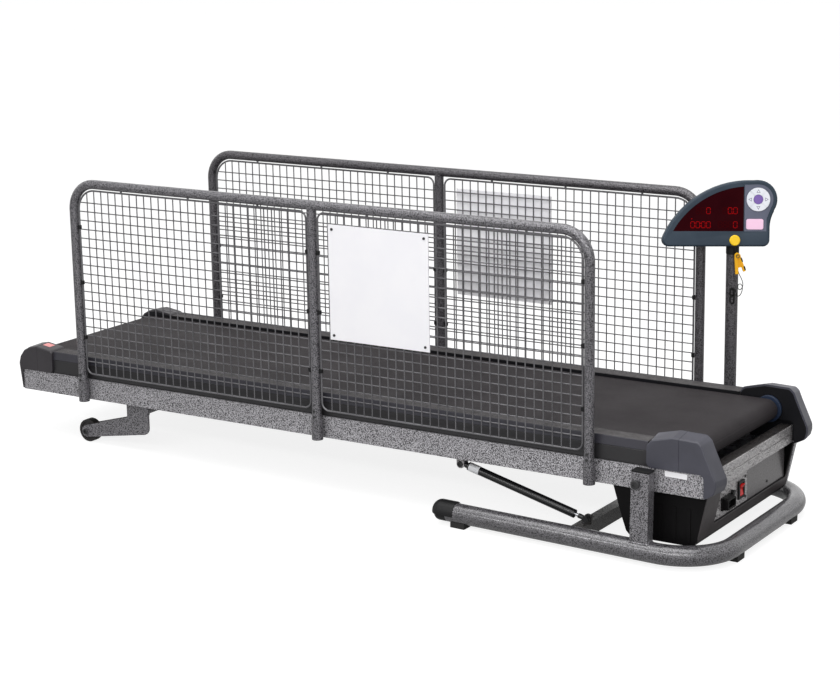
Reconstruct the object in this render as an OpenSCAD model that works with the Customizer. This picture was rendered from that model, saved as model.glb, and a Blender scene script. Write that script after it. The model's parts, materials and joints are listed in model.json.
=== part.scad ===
// Dog treadmill: a motor-driven belt between two mesh fences, on a deck that pivots on a bent floor base.
// Lengths are in millimetres. X runs forward to the motor end, +Y is the left side, Z is up.
// Deck parts are drawn about the pivot axis, level, and then placed with the deck's resting slope.

/* [Floor base] */
// Outside diameter of the bent floor tube
base_tube_d = 50.8; // [42:0.1:56]
// Room between a side rail and its pivot post, for the spacer
pivot_gap = 12; // [8:0.5:20]
// How far the floor tube reaches behind the pivot axis
base_rear = 527; // [420:1:650]
// Distance from the pivot axis forward to the middle of the front crossbar
base_front = 186; // [180:1:230]
// Bend radius at the front corners, on the tube's centreline
base_bend_r = 140; // [90:1:170]
// Height of the rubber feet under the tube
foot_h = 10; // [6:0.5:12]
// Height of the pivot axis above the floor
pivot_h = 203; // [200:1:215]
// Width of the pivot posts along the deck
post_w = 47; // [40:1:60]
// Depth of the pivot posts across the deck
post_d = 30; // [24:1:36]
// Diameter of the pivot bolts
pivot_bolt_d = 12; // [8:0.5:14]

/* [Deck frame] */
// Resting slope of the deck in degrees, front end up
deck_tilt = 1.2; // [0.8:0.1:1.4]
// How far the side rails reach behind the pivot axis
rail_rear = 1979; // [1900:1:2050]
// How far the side rails reach ahead of the pivot axis
rail_front = 156; // [150:1:162]
// Height of the side rails
rail_h = 58; // [54:0.5:60]
// Width of the side rails
rail_w = 30; // [26:0.5:32]
// Distance from the middle of the deck to the outer face of a side rail
rail_half = 294; // [260:0.5:330]
// Wall of the box-section tubes
tube_wall = 2.5; // [1.5:0.1:3]

/* [Running deck] */
// Room between an edge of the walking belt and the foot rail beside it
belt_side_gap = 9; // [7:0.5:16]
// Thickness of the walking belt
belt_t = 2.5; // [1.5:0.1:3]
// Diameter of both rollers
roller_d = 51; // [46:0.5:54]
// Height of the roller axes above the pivot axis
roller_z = 60; // [59:0.5:64]
// Distance of the front roller ahead of the pivot axis
front_roller_x = 88; // [80:1:90]
// Distance of the rear roller behind the pivot axis
rear_roller_x = 1938; // [1925:1:1945]
// Thickness of the deck board
board_t = 19; // [15:0.5:22]
// Height of the foot rails above the belt's running surface
step_rise = 7; // [4:0.5:12]
// Width of the ribbed foot rails
step_w = 48; // [40:1:49]

/* [Fence] */
// Distance between neighbouring fence posts
bay_l = 800; // [760:1:815]
// Distance of the middle post behind the pivot axis
mid_post_x = 940; // [930:1:950]
// Height of the top rail's centreline above the pivot axis
fence_h = 592; // [520:1:650]
// Outside diameter of the fence tube
fence_tube_d = 25.4; // [22:0.1:28]
// Bend radius at the top corners, on the tube's centreline
fence_bend_r = 74; // [60:1:90]
// Spacing of the mesh wires both ways
mesh_pitch = 25; // [22:0.5:40]
// Diameter of the mesh wires
wire_d = 3.2; // [2:0.1:4]
// Diameter of the rod round each mesh panel
mesh_rod_d = 5; // [4:0.1:6]
// Height of the mesh panels' lower rod above the pivot axis
mesh_bottom = 54; // [50:1:80]
// Side of the square sign plates
sign_side = 300; // [200:1:320]

/* [Rear lift legs] */
// Diameter of the wheels
wheel_d = 65; // [55:0.5:72]
// Width of the wheels
wheel_w = 24; // [18:0.5:26]
// Distance of the wheel axles behind the pivot axis
axle_back = 1780; // [1765:1:1800]
// Distance of the lift legs' hinge behind the pivot axis
lift_back = 1588; // [1580:1:1600]
// Thickness of the leg plates
leg_plate_t = 5; // [4:0.5:6]
// Diameter of the cross tube that joins the two legs
lift_tube_d = 34; // [28:1:38]

/* [Gas strut] */
// Distance of the upper eye behind the pivot axis
strut_top_back = 536; // [525:1:545]
// Depth of the upper eye below the pivot axis
strut_top_drop = 50; // [46:1:54]
// Distance of the lower eye behind the pivot axis
strut_foot_back = 180; // [176:1:184]
// Depth of the lower eye below the pivot axis
strut_foot_drop = 141; // [136:1:143]
// Diameter of the gas cylinder
cylinder_d = 22; // [15:0.5:24]
// Diameter of the piston rod
piston_rod_d = 8; // [6:0.5:9]

/* [Drive] */
// Diameter of the drive motor
motor_d = 92; // [80:1:94]
// Length of the drive motor
motor_l = 190; // [150:1:210]
// Diameter of the large pulley on the front roller
roller_pulley_d = 72; // [60:1:74]
// Diameter of the small pulley on the motor
motor_pulley_d = 28; // [22:1:32]

/* [Console] */
// Diameter of the console post
console_post_d = 32; // [28:0.5:34]
// Height of the console's lower edge above the pivot axis
console_h = 458; // [400:1:520]
// Width of the console across its face
console_w = 294; // [260:1:330]
// Turn of the console about its post at rest, in degrees
console_turn = 33; // [0:1:60]
// How far the console leans back, in degrees
console_lean = 8; // [0:1:12]
// Thickness of the console's front moulding
bezel_t = 12; // [10:0.5:14]
// Thickness of the console's back moulding
back_t = 28; // [26:0.5:32]

/* [Hidden] */
$fn = 64;

// Clearances: running fits, pieces on different bodies, welded or seated pieces, and the overrun of every cut
fit = 0.05;
body_gap = 0.3;
seat_gap = 0.05;
overrun = 1;

hammertone = [0.33, 0.33, 0.34];
moulded_black = [0.10, 0.10, 0.11];
rubber_black = [0.07, 0.07, 0.07];
steel = [0.72, 0.73, 0.75];
belt_grey = [0.27, 0.26, 0.26];
console_blue = [0.20, 0.26, 0.31];
key_yellow = [0.95, 0.68, 0.08];

// Floor base
base_r = base_tube_d / 2;
base_z = foot_h + base_r;
post_back = 14;
post_rise = 29;
post_in = rail_half + pivot_gap;
base_half_w = post_in + post_d / 2;
plug_l = 38;
plug_depth = 30;
plug_wall = 2.5;
plug_round = 16;
post_plug_h = 5;
post_plug_depth = 15;
foot_l = 41;
foot_w = 32;
foot_inset = 12;
foot_bend_gap = 16;
foot_side = base_half_w - base_bend_r - foot_bend_gap;
foot_wrap = 7;
cross_w = 30;
cross_h = 36;
cross_drop = 159;
cross_back = 190;
lug_t = 6;
lug_r = 11;
bolt_head_d = 20;
bolt_head_h = 7;
spacer_d = 26;
nut_d = 20;
nut_h = 10;

// Deck frame: the deck's reference heights, all measured from the pivot axis
rail_drop = 25;
rail_top = rail_h - rail_drop;
rail_bottom = -rail_drop;
rail_in = rail_half - rail_w;
member_h = 25;
member_w = 30;
actuator_back = 1200;
rear_member_back = 1905;
member_backs = [strut_top_back, actuator_back, rear_member_back];
front_member_x = 115;
front_member_d = 30;
front_member_top = 20;
front_member_h = 48;
front_member_split = 1;

// Running deck
roller_r = roller_d / 2;
belt_in_r = roller_r + body_gap;
board_top = roller_z + roller_r;
belt_top = board_top + belt_t + body_gap;
step_top = belt_top + step_rise;
step_inset = 4;
step_out = rail_half - step_inset;
step_in = step_out - step_w;
belt_w = 2 * (step_in - belt_side_gap);
skirt_t = 3;
skirt_rise = 3;
skirt_bulge = 1.4;
skirt_bulge_r = 40;
skirt_bulge_h = 12;
skirt_bottom = rail_top + skirt_rise;
edge_gap = 1;
board_half = step_out - skirt_t - edge_gap;
board_end_gap = 8;
board_side_gap = 2;
rib_pitch = 8;
rib_w = 4;
rib_h = 1.5;
cushion_l = 60;
cushion_count = 6;
cushion_w = 18;
inset = 3;
roller_wall = 3;
roller_half = belt_w / 2 + inset;
roller_end = 10;
vent_d = 8;
vent_count = 4;
shaft_d = 17;
bracket_l = 38;
bracket_w = 22;
bracket_in = rail_in + inset;
shaft_half = bracket_in + bracket_w - edge_gap;
tension_bolt_d = 8;
tension_head_d = 13;
tension_head_h = 6;

// End caps
cap_wall = 4;
cap_proud = 4;
cap_out = rail_half + cap_proud;
cap_edge = 2;
cap_seat = rail_top + edge_gap;
cap_hole_gap = 3;
front_cap_w = 50;
front_cap_in = cap_out - front_cap_w;
front_cap_x = 7;
front_cap_l = 176;
front_cap_h = 88;
front_cap_shares = [[0, 0.74], [0.045, 0.84], [0.38, 1], [0.77, 0.98], [0.84, 0.855],
  [0.895, 0.595], [1.06, -0.14], [1.065, -0.30], [1.03, -0.50], [0.90, -0.64]];
rear_cap_w = 58;
rear_cap_in = cap_out - rear_cap_w;
rear_cap_x = 1865;
rear_cap_l = 128;
rear_cap_h = 74;
rear_cap_shares = [[0, 0.88], [0.455, 1], [0.85, 0.70], [1, 0.30]];
cap_round = 6;

// Motor pan, drawn as a side profile in shares of its length and depth
pan_rear = 97;
pan_front = 154;
pan_depth = 131;
pan_inset = 24;
pan_half = rail_half - pan_inset;
pan_wall = 3;
pan_shares = [[0, 0], [0.112, 0.695], [0.151, 0.905], [0.20, 1], [0.857, 1], [0.896, 0.916], [1, 0]];
pan_rib_count = 5;
pan_rib_w = 10;
pan_rib_h = 2;
pan_rib_pitch = 38;
pan_rib_start = 50;
pan_rib_low_share = 0.93;
pan_rib_top_share = 0.30;
plate_x = 128;
plate_t = 3;
plate_low = 116;
plate_gap = 1;
switch_plate_left = 16;
switch_plate_right = 187;
plate_inset = 21;
blank_plate_left = pan_half - plate_inset;
plate_top = front_member_top - front_member_h - plate_gap;
plate_screws = [[3, -50], [4, -102], [-172, -104], [140, -100]];

// Switches and inlet on the switch plate
inlet_y = -114;
inlet_z = -85;
inlet_w = 48;
inlet_h = 28;
inlet_out = 9;
inlet_back = 20;
inlet_flange_t = 3;
socket_w = 24.5;
socket_h = 16.5;
socket_depth = 15;
socket_rim = 2;
inlet_body_w = socket_w + 2 * socket_rim;
inlet_body_h = socket_h + 2 * socket_rim;
pin_slot_w = 2.2;
pin_slot_h = 6;
pin_slot_pitch = 7;
breaker_y = -78;
breaker_z = -70;
breaker_d = 14;
breaker_out = 8;
breaker_back = 14;
rocker_y = -26;
rocker_z = -76;
rocker_w = 20;
rocker_h = 30;
rocker_t = 12;
rocker_rest = 10;
rocker_pin_d = 4;
rocker_rim = 5;
rocker_front = 5;
rocker_swing_gap = 1.5;
rocker_body_l = 22;
bezel_w = rocker_w + 2 * rocker_rim;
bezel_h = rocker_h + 2 * rocker_rim;
rocker_shares = [[-0.5, 0.46], [0.30, 0.48], [0.10, 0], [0.30, -0.48], [-0.5, -0.46]];

// Drive
pulley_inset = 6;
pulley_y = rail_in - pulley_inset;
pulley_w = 10;
motor_x = 15;
motor_z = -75;
motor_shaft_d = 14;
motor_inset = 30;
motor_end = pulley_y - motor_inset;
motor_bell_l = 15;
motor_bell_step = 6;
motor_bore = 30;
flywheel_inset = 17;
flywheel_y = pulley_y - flywheel_inset;
flywheel_d = 88;
flywheel_w = 14;
drive_belt_t = 3;
mount_t = 4;
mount_back = 60;
mount_front = 105;
mount_slot_back = 5;
mount_slot_front = 80;
saddle_w = 12;
saddle_first = 48;
saddle_pitch = 100;
saddle_ys = [saddle_first - motor_end, saddle_first + saddle_pitch - motor_end];
saddle_l = 70;
saddle_drop = 30;
controller_l = 120;
controller_w = 150;
controller_h = 36;
controller_x = 35;
controller_inset = 120;
controller_y = pan_half - controller_inset;
fin_count = 8;
fin_h = 10;
fin_t = 3;

// Fence and mesh
socket_wall = 2.3;
socket_d = fence_tube_d + 2 * socket_wall;
fence_y = rail_half + socket_d / 2 + seat_gap;
socket_low = rail_bottom - inset;
socket_step = 6;
socket_top = rail_top - socket_step;
post_backs = [mid_post_x + bay_l, mid_post_x, mid_post_x - bay_l];
mesh_off = 18;
mesh_corner_r = 20;
mesh_tab_d = 6;
weld_gap = 0.05;
screw_d = 7;
screw_h = 2;
screw_rise = 8;
screw_pitch = 15;
sign_t = 3;
sign_shift = 54;
sign_drop = 44;
sign_z = fence_h - sign_drop - sign_side / 2;
sign_screw_inset = 12;
sign_x = sign_shift + sign_side / 2 - mid_post_x;
wire_reach = wire_d + weld_gap / 2;
sign_y = fence_y + max(mesh_rod_d / 2, wire_reach) + seat_gap;
mesh_tab_shares = [0.2, 0.5, 0.8];

// Rear lift legs
lift_z = 4;
lift_pin_d = 14;
lift_pin_head_d = 24;
lift_pin_head_h = 5;
leg_half_w = 38.5;
leg_front_drop = 94;
leg_toe_r = 17;
leg_corner_r = 22;
leg_knee_drop = 74;
leg_top_r = 22;
axle_d = 12;
axle_head_d = 18;
axle_head_h = 4;
wheel_gap = 3;
wheel_tread = 7;
wheel_hub_d = 26;
wheel_dish = 3;
leg_gap = 0.5;
leg_out = rail_in - leg_gap;
leg_in = leg_out - 2 * leg_plate_t - wheel_w - 2 * wheel_gap;
toe_low_shares = [0.16, -0.987];
toe_top_shares = [-0.27, 0.963];
lift_tube_x = 20;
lift_tube_drop = 45;
lift_lug_x = 18;
lift_lug_drop = 79;
lift_lug_r = 12;
lift_eye_w = 14;
lift_pivot_d = 10;
lift_pivot_free = 2.5;
lift_ear_gap = 0.5;
lift_pin_end = 2;
actuator_drop = 52;
actuator_body_l = 190;
actuator_body_d = 44;
actuator_tube_d = 26;
actuator_motor_d = 58;
actuator_motor_l = 90;
actuator_overlap = 60;
actuator_offset_share = 0.8;
lift_eye_r = 11;
actuator_l = norm([lift_back - lift_lug_x - actuator_back, lift_lug_drop - lift_z - actuator_drop]);

// Gas strut
strut_inset = 18;
strut_y = rail_in - strut_inset;
strut_eye_r = 9;
strut_room = 12;
strut_eye_w = 10;
strut_pin_d = 8;
strut_cylinder_share = 0.91;
strut_neck_d = 10;
strut_l = norm([strut_top_back - strut_foot_back, strut_foot_drop - strut_top_drop]);
strut_rod_start_share = 0.18;
strut_lug_gap = 1;

// Console outline, in its own plane: across from the post, and up from the lower edge
post_x = 52;
console_socket_d = console_post_d + 2 * socket_wall;
console_y = rail_half + console_socket_d / 2 + seat_gap;
collar_wall = 4;
collar_d = console_post_d + 2 * collar_wall;
collar_drop = 18;
post_in_console = 20;
back_boss = 26;
face_shares = [[0.2497, 0.0629, 0.0578], [0.6068, 0.1701, 0.2993], [0.2014, 0.415, 0.1701],
  [0.132, -0.2433, 0.8267], [-0.5738, 0.0612, 0.0561]];
face_angles = [[-90, 0], [180, 152], [-33, 99], [88, 155], [160, 270]];
window_shares = [0.0762, 0.1405, 0.0531];
panel_shares = [0.083, 0.1378, 0.0374, 0.2755];
dial_shares = [0.2014, 0.4163, 0.1024, 0.0408];
stop_shares = [0.1736, 0.2007, 0.1493, 0.0918, 0.0169];
safety_shares = [0, 0.0595];
// The console stands level on the tilted deck
console_level = deck_tilt * cos(console_turn);
face = [for (s = face_shares) console_w * s];
bulge_c = [face[2].x, face[2].y];
bulge_r = face[2].z;
sweep_c = [face[3].x, face[3].y];
sweep_r = face[3].z;
arc_steps = 10;
bezel_front = -32;
bezel_wall = 3;
window_low = console_w * window_shares[1];
window_side = console_w * window_shares[0];
window_inset = console_w * window_shares[2];
window_t = 3;
window_sink = 0.5;
panel_side = console_w * panel_shares[0];
panel_inset = console_w * panel_shares[2];
panel_low = console_w * panel_shares[1];
panel_right = console_w * panel_shares[3];
panel_t = 3;
well_depth = 2;
key_gap = 0.4;
key_out = 1.5;
key_t = 4;
key_travel = 1;
dial_c = console_w * [dial_shares[0], dial_shares[1]];
dial_r = console_w * dial_shares[2];
centre_key_r = console_w * dial_shares[3];
key_ring_gap = 0.6;
sector_angle = 84;
stop_c = console_w * [stop_shares[0], stop_shares[1]];
stop_w = console_w * stop_shares[2];
stop_h = console_w * stop_shares[3];
stop_round = console_w * stop_shares[4];

// Safety key, its clip and its cord
safety_c = console_w * safety_shares;
safety_d = 27.5;
safety_t = 6;
safety_dome = 2;
safety_ring_d = 6;
clip_top = [7, -17];
clip_l = 47;
clip_arm_w = 8;
clip_t = 9;
clip_lean = 4;
clip_jaw_l = 44;
clip_jaw_w = 7;
clip_jaw_lean = 20;
clip_y = -41.9;
cord_d = 1.6;
cord_sides = 8;
hank_sides = 6;
cord_steps = 3;
cord_route = [[0, -34, 7.9], [1, -33, -3], [3, -31, -12], [6, -30.5, -30], [8, -30.5, -46],
  [12, -31, -63], [18, -33, -76], [22, -35, -87], [22, -36, -98], [16, -37, -106], [10, -39, -102],
  [10, -42, -92], [16, -44, -90], [20, -44, -98], [19, -43, -110], [14, -42, -120], [7, -41, -122],
  [5, -39, -114], [3, -37, -106], [-1, -36, -102], [-5.6, -36, -101]];
hank_c = [-6, -36, -121];
hank_loops = 7;
hank_half_l = 15;
hank_r = 5;
hank_pitch = 2.1;
hank_steps = 24;

// What places the deck: the wheels stand on the floor, and the object is centred in its length and width
wheel_r = wheel_d / 2;
axle_z = (wheel_r - pivot_h + axle_back * sin(deck_tilt)) / cos(deck_tilt);
rear_reach = (rear_cap_x + rear_cap_l) * cos(deck_tilt);
pivot_x = (rear_reach - base_front - base_r) / 2;
console_rear = bezel_front + bezel_t + back_t;
console_reach = max([for (p = level_points())
  p.x * sin(console_turn) + (console_rear * cos(console_lean) + p.y * sin(console_lean)) * cos(console_turn)]);
mid_y = (base_half_w + base_r - console_y - console_reach) / 2;

// Shared shapes

// Places deck parts, drawn about the pivot axis, at the pivot with the deck's resting slope
module on_deck() {
  translate([pivot_x, mid_y, pivot_h])
    rotate([0, -deck_tilt, 0])
      children();
}

module on_base() {
  translate([pivot_x, mid_y, 0])
    children();
}

module each_side() {
  children();
  mirror([0, 1, 0])
    children();
}

module block(lo, hi) {
  translate(lo)
    cube(hi - lo);
}

// A box-section tube along Y, open at both ends
module box_tube_y(lo, hi, wall) {
  difference() {
    block(lo, hi);
    block([lo.x + wall, lo.y - overrun, lo.z + wall], [hi.x - wall, hi.y + overrun, hi.z - wall]);
  }
}

module rod_x(d, lo, hi) {
  translate([lo, 0, 0])
    rotate([0, 90, 0])
      cylinder(d = d, h = hi - lo);
}

module rod_y(d, lo, hi) {
  translate([0, lo, 0])
    rotate([-90, 0, 0])
      cylinder(d = d, h = hi - lo);
}

module rod_z(d, lo, hi) {
  translate([0, 0, lo])
    cylinder(d = d, h = hi - lo);
}

// Extrudes a side profile, drawn as x and z, across the deck
module slab_y(lo, hi) {
  translate([0, hi, 0])
    rotate([90, 0, 0])
      linear_extrude(hi - lo)
        children();
}

// A quarter bend of round bar in the x and z plane, from +X up to +Z, turned by quarter steps
module bend_xz(r, d, quarter) {
  rotate([90, 0, 0])
    rotate([0, 0, quarter * 90])
      rotate_extrude(angle = 90)
        translate([r, 0])
          circle(d = d);
}

// Floor base

module base_run(d) {
  translate([0, base_half_w, base_z])
    rod_x(d, -base_rear, base_front - base_bend_r);
}

module base_tube() {
  color(hammertone)
    on_base()
      difference() {
        union() {
          each_side()
            base_run(base_tube_d);
          each_side()
            translate([base_front - base_bend_r, base_half_w - base_bend_r, base_z])
              rotate_extrude(angle = 90)
                translate([base_bend_r, 0])
                  circle(d = base_tube_d);
          translate([base_front, 0, base_z])
            rod_y(base_tube_d, base_bend_r - base_half_w, base_half_w - base_bend_r);
        }
        each_side()
          translate([-base_rear, base_half_w, base_z])
            rod_x(base_tube_d - 2 * plug_wall, -overrun, plug_depth + overrun);
      }
}

module pivot_posts() {
  color(hammertone)
    on_base()
      each_side()
        difference() {
          block([-post_back, post_in, base_z], [post_w - post_back, post_in + post_d, pivot_h + post_rise]);
          block([tube_wall - post_back, post_in + tube_wall, base_z - overrun],
            [post_w - post_back - tube_wall, post_in + post_d - tube_wall, pivot_h + post_rise + overrun]);
          translate([0, base_half_w, base_z])
            rod_x(base_tube_d + 2 * seat_gap, -post_w, post_w);
          translate([0, 0, pivot_h])
            rod_y(pivot_bolt_d + 2 * fit, post_in - overrun, post_in + post_d + overrun);
        }
}

// The rounded end of a floor-tube plug, with the stub that fills the tube
module end_plug() {
  rotate_extrude() {
    square([base_r - plug_round, plug_l]);
    square([base_r, plug_l - plug_round]);
    translate([base_r - plug_round, plug_l - plug_round])
      intersection() {
        circle(r = plug_round);
        square(plug_round);
      }
  }
  rod_z(base_tube_d - 2 * plug_wall - 2 * fit, -plug_depth, overrun);
}

module tube_plugs() {
  color(moulded_black)
    on_base()
      each_side() {
        translate([-base_rear - seat_gap, base_half_w, base_z])
          rotate([0, -90, 0])
            end_plug();
        block([-post_back, post_in, pivot_h + post_rise + seat_gap],
          [post_w - post_back, post_in + post_d, pivot_h + post_rise + post_plug_h]);
        block([tube_wall + fit - post_back, post_in + tube_wall + fit, pivot_h + post_rise - post_plug_depth],
          [post_w - post_back - tube_wall - fit, post_in + post_d - tube_wall - fit,
            pivot_h + post_rise + post_plug_h - overrun]);
      }
}

module base_cross_member() {
  foot_y = strut_y - strut_eye_w / 2 - strut_lug_gap;
  top = pivot_h - cross_drop;
  eye_x = strut_foot_drop * sin(deck_tilt) - strut_foot_back * cos(deck_tilt);
  eye_z = pivot_h - strut_foot_back * sin(deck_tilt) - strut_foot_drop * cos(deck_tilt);
  color(hammertone)
    on_base() {
      difference() {
        box_tube_y([-cross_back - cross_w / 2, -base_half_w, top - cross_h],
          [cross_w / 2 - cross_back, base_half_w, top], tube_wall);
        each_side()
          base_run(base_tube_d + 2 * seat_gap);
      }
      translate([eye_x, 0, 0])
        slab_y(-foot_y, lug_t - foot_y) {
          translate([0, eye_z])
            circle(r = lug_r);
          translate([-lug_r, top - tube_wall / 2])
            square([2 * lug_r, eye_z - top + tube_wall / 2]);
        }
    }
}

module base_feet() {
  color(rubber_black)
    on_base()
      each_side() {
        difference() {
          block([foot_inset - base_rear, base_half_w - foot_w / 2, 0],
            [foot_inset + foot_l - base_rear, base_half_w + foot_w / 2, foot_h + foot_wrap]);
          base_run(base_tube_d + 2 * seat_gap);
        }
        difference() {
          block([base_front - foot_w / 2, foot_side - foot_l / 2, 0],
            [base_front + foot_w / 2, foot_side + foot_l / 2, foot_h + foot_wrap]);
          translate([base_front, 0, base_z])
            rod_y(base_tube_d + 2 * seat_gap, foot_side - foot_l, foot_side + foot_l);
        }
      }
}

module pivot_bolts() {
  color(moulded_black)
    translate([pivot_x, mid_y, pivot_h])
      each_side() {
        rod_y(pivot_bolt_d, rail_in - body_gap - nut_h, post_in + post_d + bolt_head_h);
        rod_y(nut_d, rail_in - body_gap - nut_h, rail_in - body_gap);
        rod_y(spacer_d, rail_half + body_gap, post_in - seat_gap);
        rod_y(bolt_head_d, post_in + post_d + seat_gap, post_in + post_d + bolt_head_h);
      }
}

// Deck frame

module side_rails() {
  color(hammertone)
    on_deck()
      each_side()
        difference() {
          block([-rail_rear, rail_in, rail_bottom], [rail_front, rail_half, rail_top]);
          block([-rail_rear - overrun, rail_in + tube_wall, rail_bottom + tube_wall],
            [rail_front + overrun, rail_half - tube_wall, rail_top - tube_wall]);
          rod_y(pivot_bolt_d + 2 * fit, rail_in - overrun, rail_half + overrun);
          translate([-lift_back, 0, lift_z])
            rod_y(lift_pin_d + 2 * fit, rail_in - overrun, rail_in + tube_wall + overrun);
        }
}

// Two ears and a fixed pin, hung under a cross member, for the eye of a strut or an actuator
module ear_pair(drop, r, eye_w, gap, pin_d) {
  for (side = [-1, 1])
    translate([0, side * (eye_w / 2 + gap + lug_t / 2), 0])
      slab_y(-lug_t / 2, lug_t / 2) {
        translate([0, -drop])
          circle(r = r);
        translate([-r, -drop])
          square([2 * r, drop + rail_bottom + tube_wall / 2]);
      }
  translate([0, 0, -drop])
    rod_y(pin_d, -eye_w / 2 - gap - lug_t, eye_w / 2 + gap + lug_t);
}

module frame_cross_members() {
  color(hammertone)
    on_deck() {
      for (back = member_backs)
        box_tube_y([-back - member_w / 2, seat_gap - rail_in, rail_bottom],
          [member_w / 2 - back, rail_in - seat_gap, rail_bottom + member_h], tube_wall);
      translate([-strut_top_back, -strut_y, 0])
        ear_pair(strut_top_drop, lug_r, strut_eye_w, body_gap, strut_pin_d);
      translate([-actuator_back, 0, 0])
        ear_pair(actuator_drop, lift_lug_r, lift_eye_w, body_gap, lift_pivot_d);
      for (low = [front_member_top - front_member_h, front_member_top - front_member_h / 2])
        box_tube_y([front_member_x, seat_gap - rail_in, low],
          [front_member_x + front_member_d, rail_in - seat_gap,
            low + front_member_h / 2 - front_member_split], tube_wall);
    }
}

// Running deck

module deck_cushions() {
  run = rear_cap_x + front_cap_x - cushion_l;
  color(rubber_black)
    on_deck()
      each_side()
        for (i = [0 : cushion_count - 1])
          translate([i * (run - 2 * cushion_l) / (cushion_count - 1) - rear_cap_x + cushion_l, 0, 0])
            block([0, rail_in + inset, rail_top + seat_gap],
              [cushion_l, rail_in + inset + cushion_w, board_top - board_t - seat_gap]);
}

module deck_board() {
  color([0.16, 0.15, 0.14])
    on_deck() {
      block([board_side_gap - rear_cap_x, -board_half, board_top - board_t],
        [front_cap_x - board_side_gap, board_half, board_top]);
      block([roller_r + board_end_gap - rear_roller_x, board_side_gap - rear_cap_in, board_top - board_t],
        [front_roller_x - roller_r - board_end_gap, rear_cap_in - board_side_gap, board_top]);
    }
}

module step_rails() {
  ribs = floor(step_w / rib_pitch);
  color([0.43, 0.41, 0.38])
    on_deck()
      each_side()
        difference() {
          block([edge_gap - rear_cap_x, step_in, board_top + seat_gap],
            [front_cap_x - edge_gap, step_out - skirt_t - seat_gap, step_top]);
          for (i = [0 : ribs - 1])
            translate([0, step_in + i * rib_pitch + rib_w / 2, step_top - rib_h])
              block([-rear_cap_x, 0, 0], [front_cap_x, rib_pitch - rib_w, rib_h + overrun]);
        }
}

// Skirts that close the deck's sides, bulged in their upper half
module step_skirts() {
  bulge_z = step_top - skirt_bulge_h;
  color(moulded_black)
    on_deck()
      each_side()
        translate([edge_gap - rear_cap_x, 0, 0])
          rotate([90, 0, 90])
            linear_extrude(rear_cap_x + front_cap_x - 2 * edge_gap) {
              translate([step_out - skirt_t, skirt_bottom])
                square([skirt_t, step_top - skirt_bottom]);
              intersection() {
                translate([step_out - skirt_bulge_r + skirt_bulge, bulge_z])
                  circle(r = skirt_bulge_r);
                translate([step_out - skirt_t / 2, skirt_bottom])
                  square([skirt_t, step_top - skirt_bottom]);
              }
            }
}

module belt_loop(r) {
  translate([front_roller_x, roller_z])
    circle(r = r);
  translate([-rear_roller_x, roller_z])
    circle(r = r);
  translate([-rear_roller_x, roller_z - r])
    square([rear_roller_x + front_roller_x, 2 * r]);
}

module walking_belt() {
  color(belt_grey)
    on_deck()
      slab_y(-belt_w / 2, belt_w / 2)
        difference() {
          belt_loop(belt_in_r + belt_t);
          belt_loop(belt_in_r);
        }
}

module roller_drum() {
  difference() {
    rod_y(roller_d, -roller_half, roller_half);
    rod_y(roller_d - 2 * roller_wall, roller_end - roller_half, roller_half - roller_end);
    for (i = [0 : vent_count - 1])
      rotate([0, i * 360 / vent_count, 0])
        translate([(roller_r - roller_wall + shaft_d / 2) / 2, 0, 0])
          rod_y(vent_d, -roller_half - overrun, roller_half + overrun);
  }
  rod_y(shaft_d, -shaft_half, shaft_half);
}

module front_roller() {
  color(steel)
    on_deck()
      translate([front_roller_x, 0, roller_z]) {
        roller_drum();
        translate([0, -pulley_y, 0])
          rod_y(roller_pulley_d, -pulley_w / 2, pulley_w / 2);
      }
}

module rear_roller() {
  color(steel)
    on_deck()
      translate([-rear_roller_x, 0, roller_z])
        roller_drum();
}

module roller_brackets() {
  color([0.20, 0.20, 0.21])
    on_deck()
      each_side()
        for (x = [front_roller_x, -rear_roller_x])
          translate([x, 0, 0])
            difference() {
              slab_y(bracket_in, bracket_in + bracket_w) {
                translate([0, roller_z])
                  circle(d = bracket_l);
                translate([-bracket_l / 2, rail_top + seat_gap])
                  square([bracket_l, roller_z - rail_top - seat_gap]);
              }
              translate([0, 0, roller_z])
                rod_y(shaft_d + 2 * fit, bracket_in - overrun, bracket_in + bracket_w + overrun);
            }
}

// Small visible fasteners, all fixed to the deck
module fasteners() {
  bolt_y = bracket_in + bracket_w / 2;
  bolt_in = rear_roller_x + bracket_l / 2 + seat_gap;
  head_in = rear_cap_x + rear_cap_l - cap_wall - tension_head_h;
  leg_pin_in = leg_out - leg_plate_t - body_gap;
  color(steel)
    on_deck() {
      each_side() {
        translate([0, bolt_y, roller_z]) {
          rod_x(tension_bolt_d, -head_in - tension_head_h, -bolt_in);
          rod_x(tension_head_d, -head_in - tension_head_h, -head_in);
        }
        translate([-lift_back, 0, lift_z]) {
          rod_y(lift_pin_d, leg_pin_in - lift_pin_head_h, rail_in + tube_wall);
          rod_y(lift_pin_head_d, leg_pin_in - lift_pin_head_h, leg_pin_in);
        }
        for (back = post_backs, i = [0, 1])
          difference() {
            translate([-back, 0, socket_top + screw_rise + i * screw_pitch])
              rod_y(screw_d, fence_y, fence_y + fence_tube_d / 2 + screw_h);
            translate([-back, fence_y, 0])
              rod_z(fence_tube_d + 2 * seat_gap, 0, fence_h);
          }
        for (dx = [-1, 1], dz = [-1, 1])
          translate([sign_x + dx * (sign_side / 2 - sign_screw_inset), 0,
            sign_z + dz * (sign_side / 2 - sign_screw_inset)])
            rod_y(screw_d, sign_y + sign_t + seat_gap, sign_y + sign_t + screw_h);
      }
      for (screw = plate_screws)
        translate([0, screw[0], screw[1]])
          rod_x(screw_d, plate_x + plate_t + seat_gap, plate_x + plate_t + screw_h);
    }
}

// End caps and motor pan

// Rounds the outward corners of an outline
module rounded(r) {
  offset(r = r, $fn = 32)
    offset(delta = -r)
      children();
}

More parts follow.
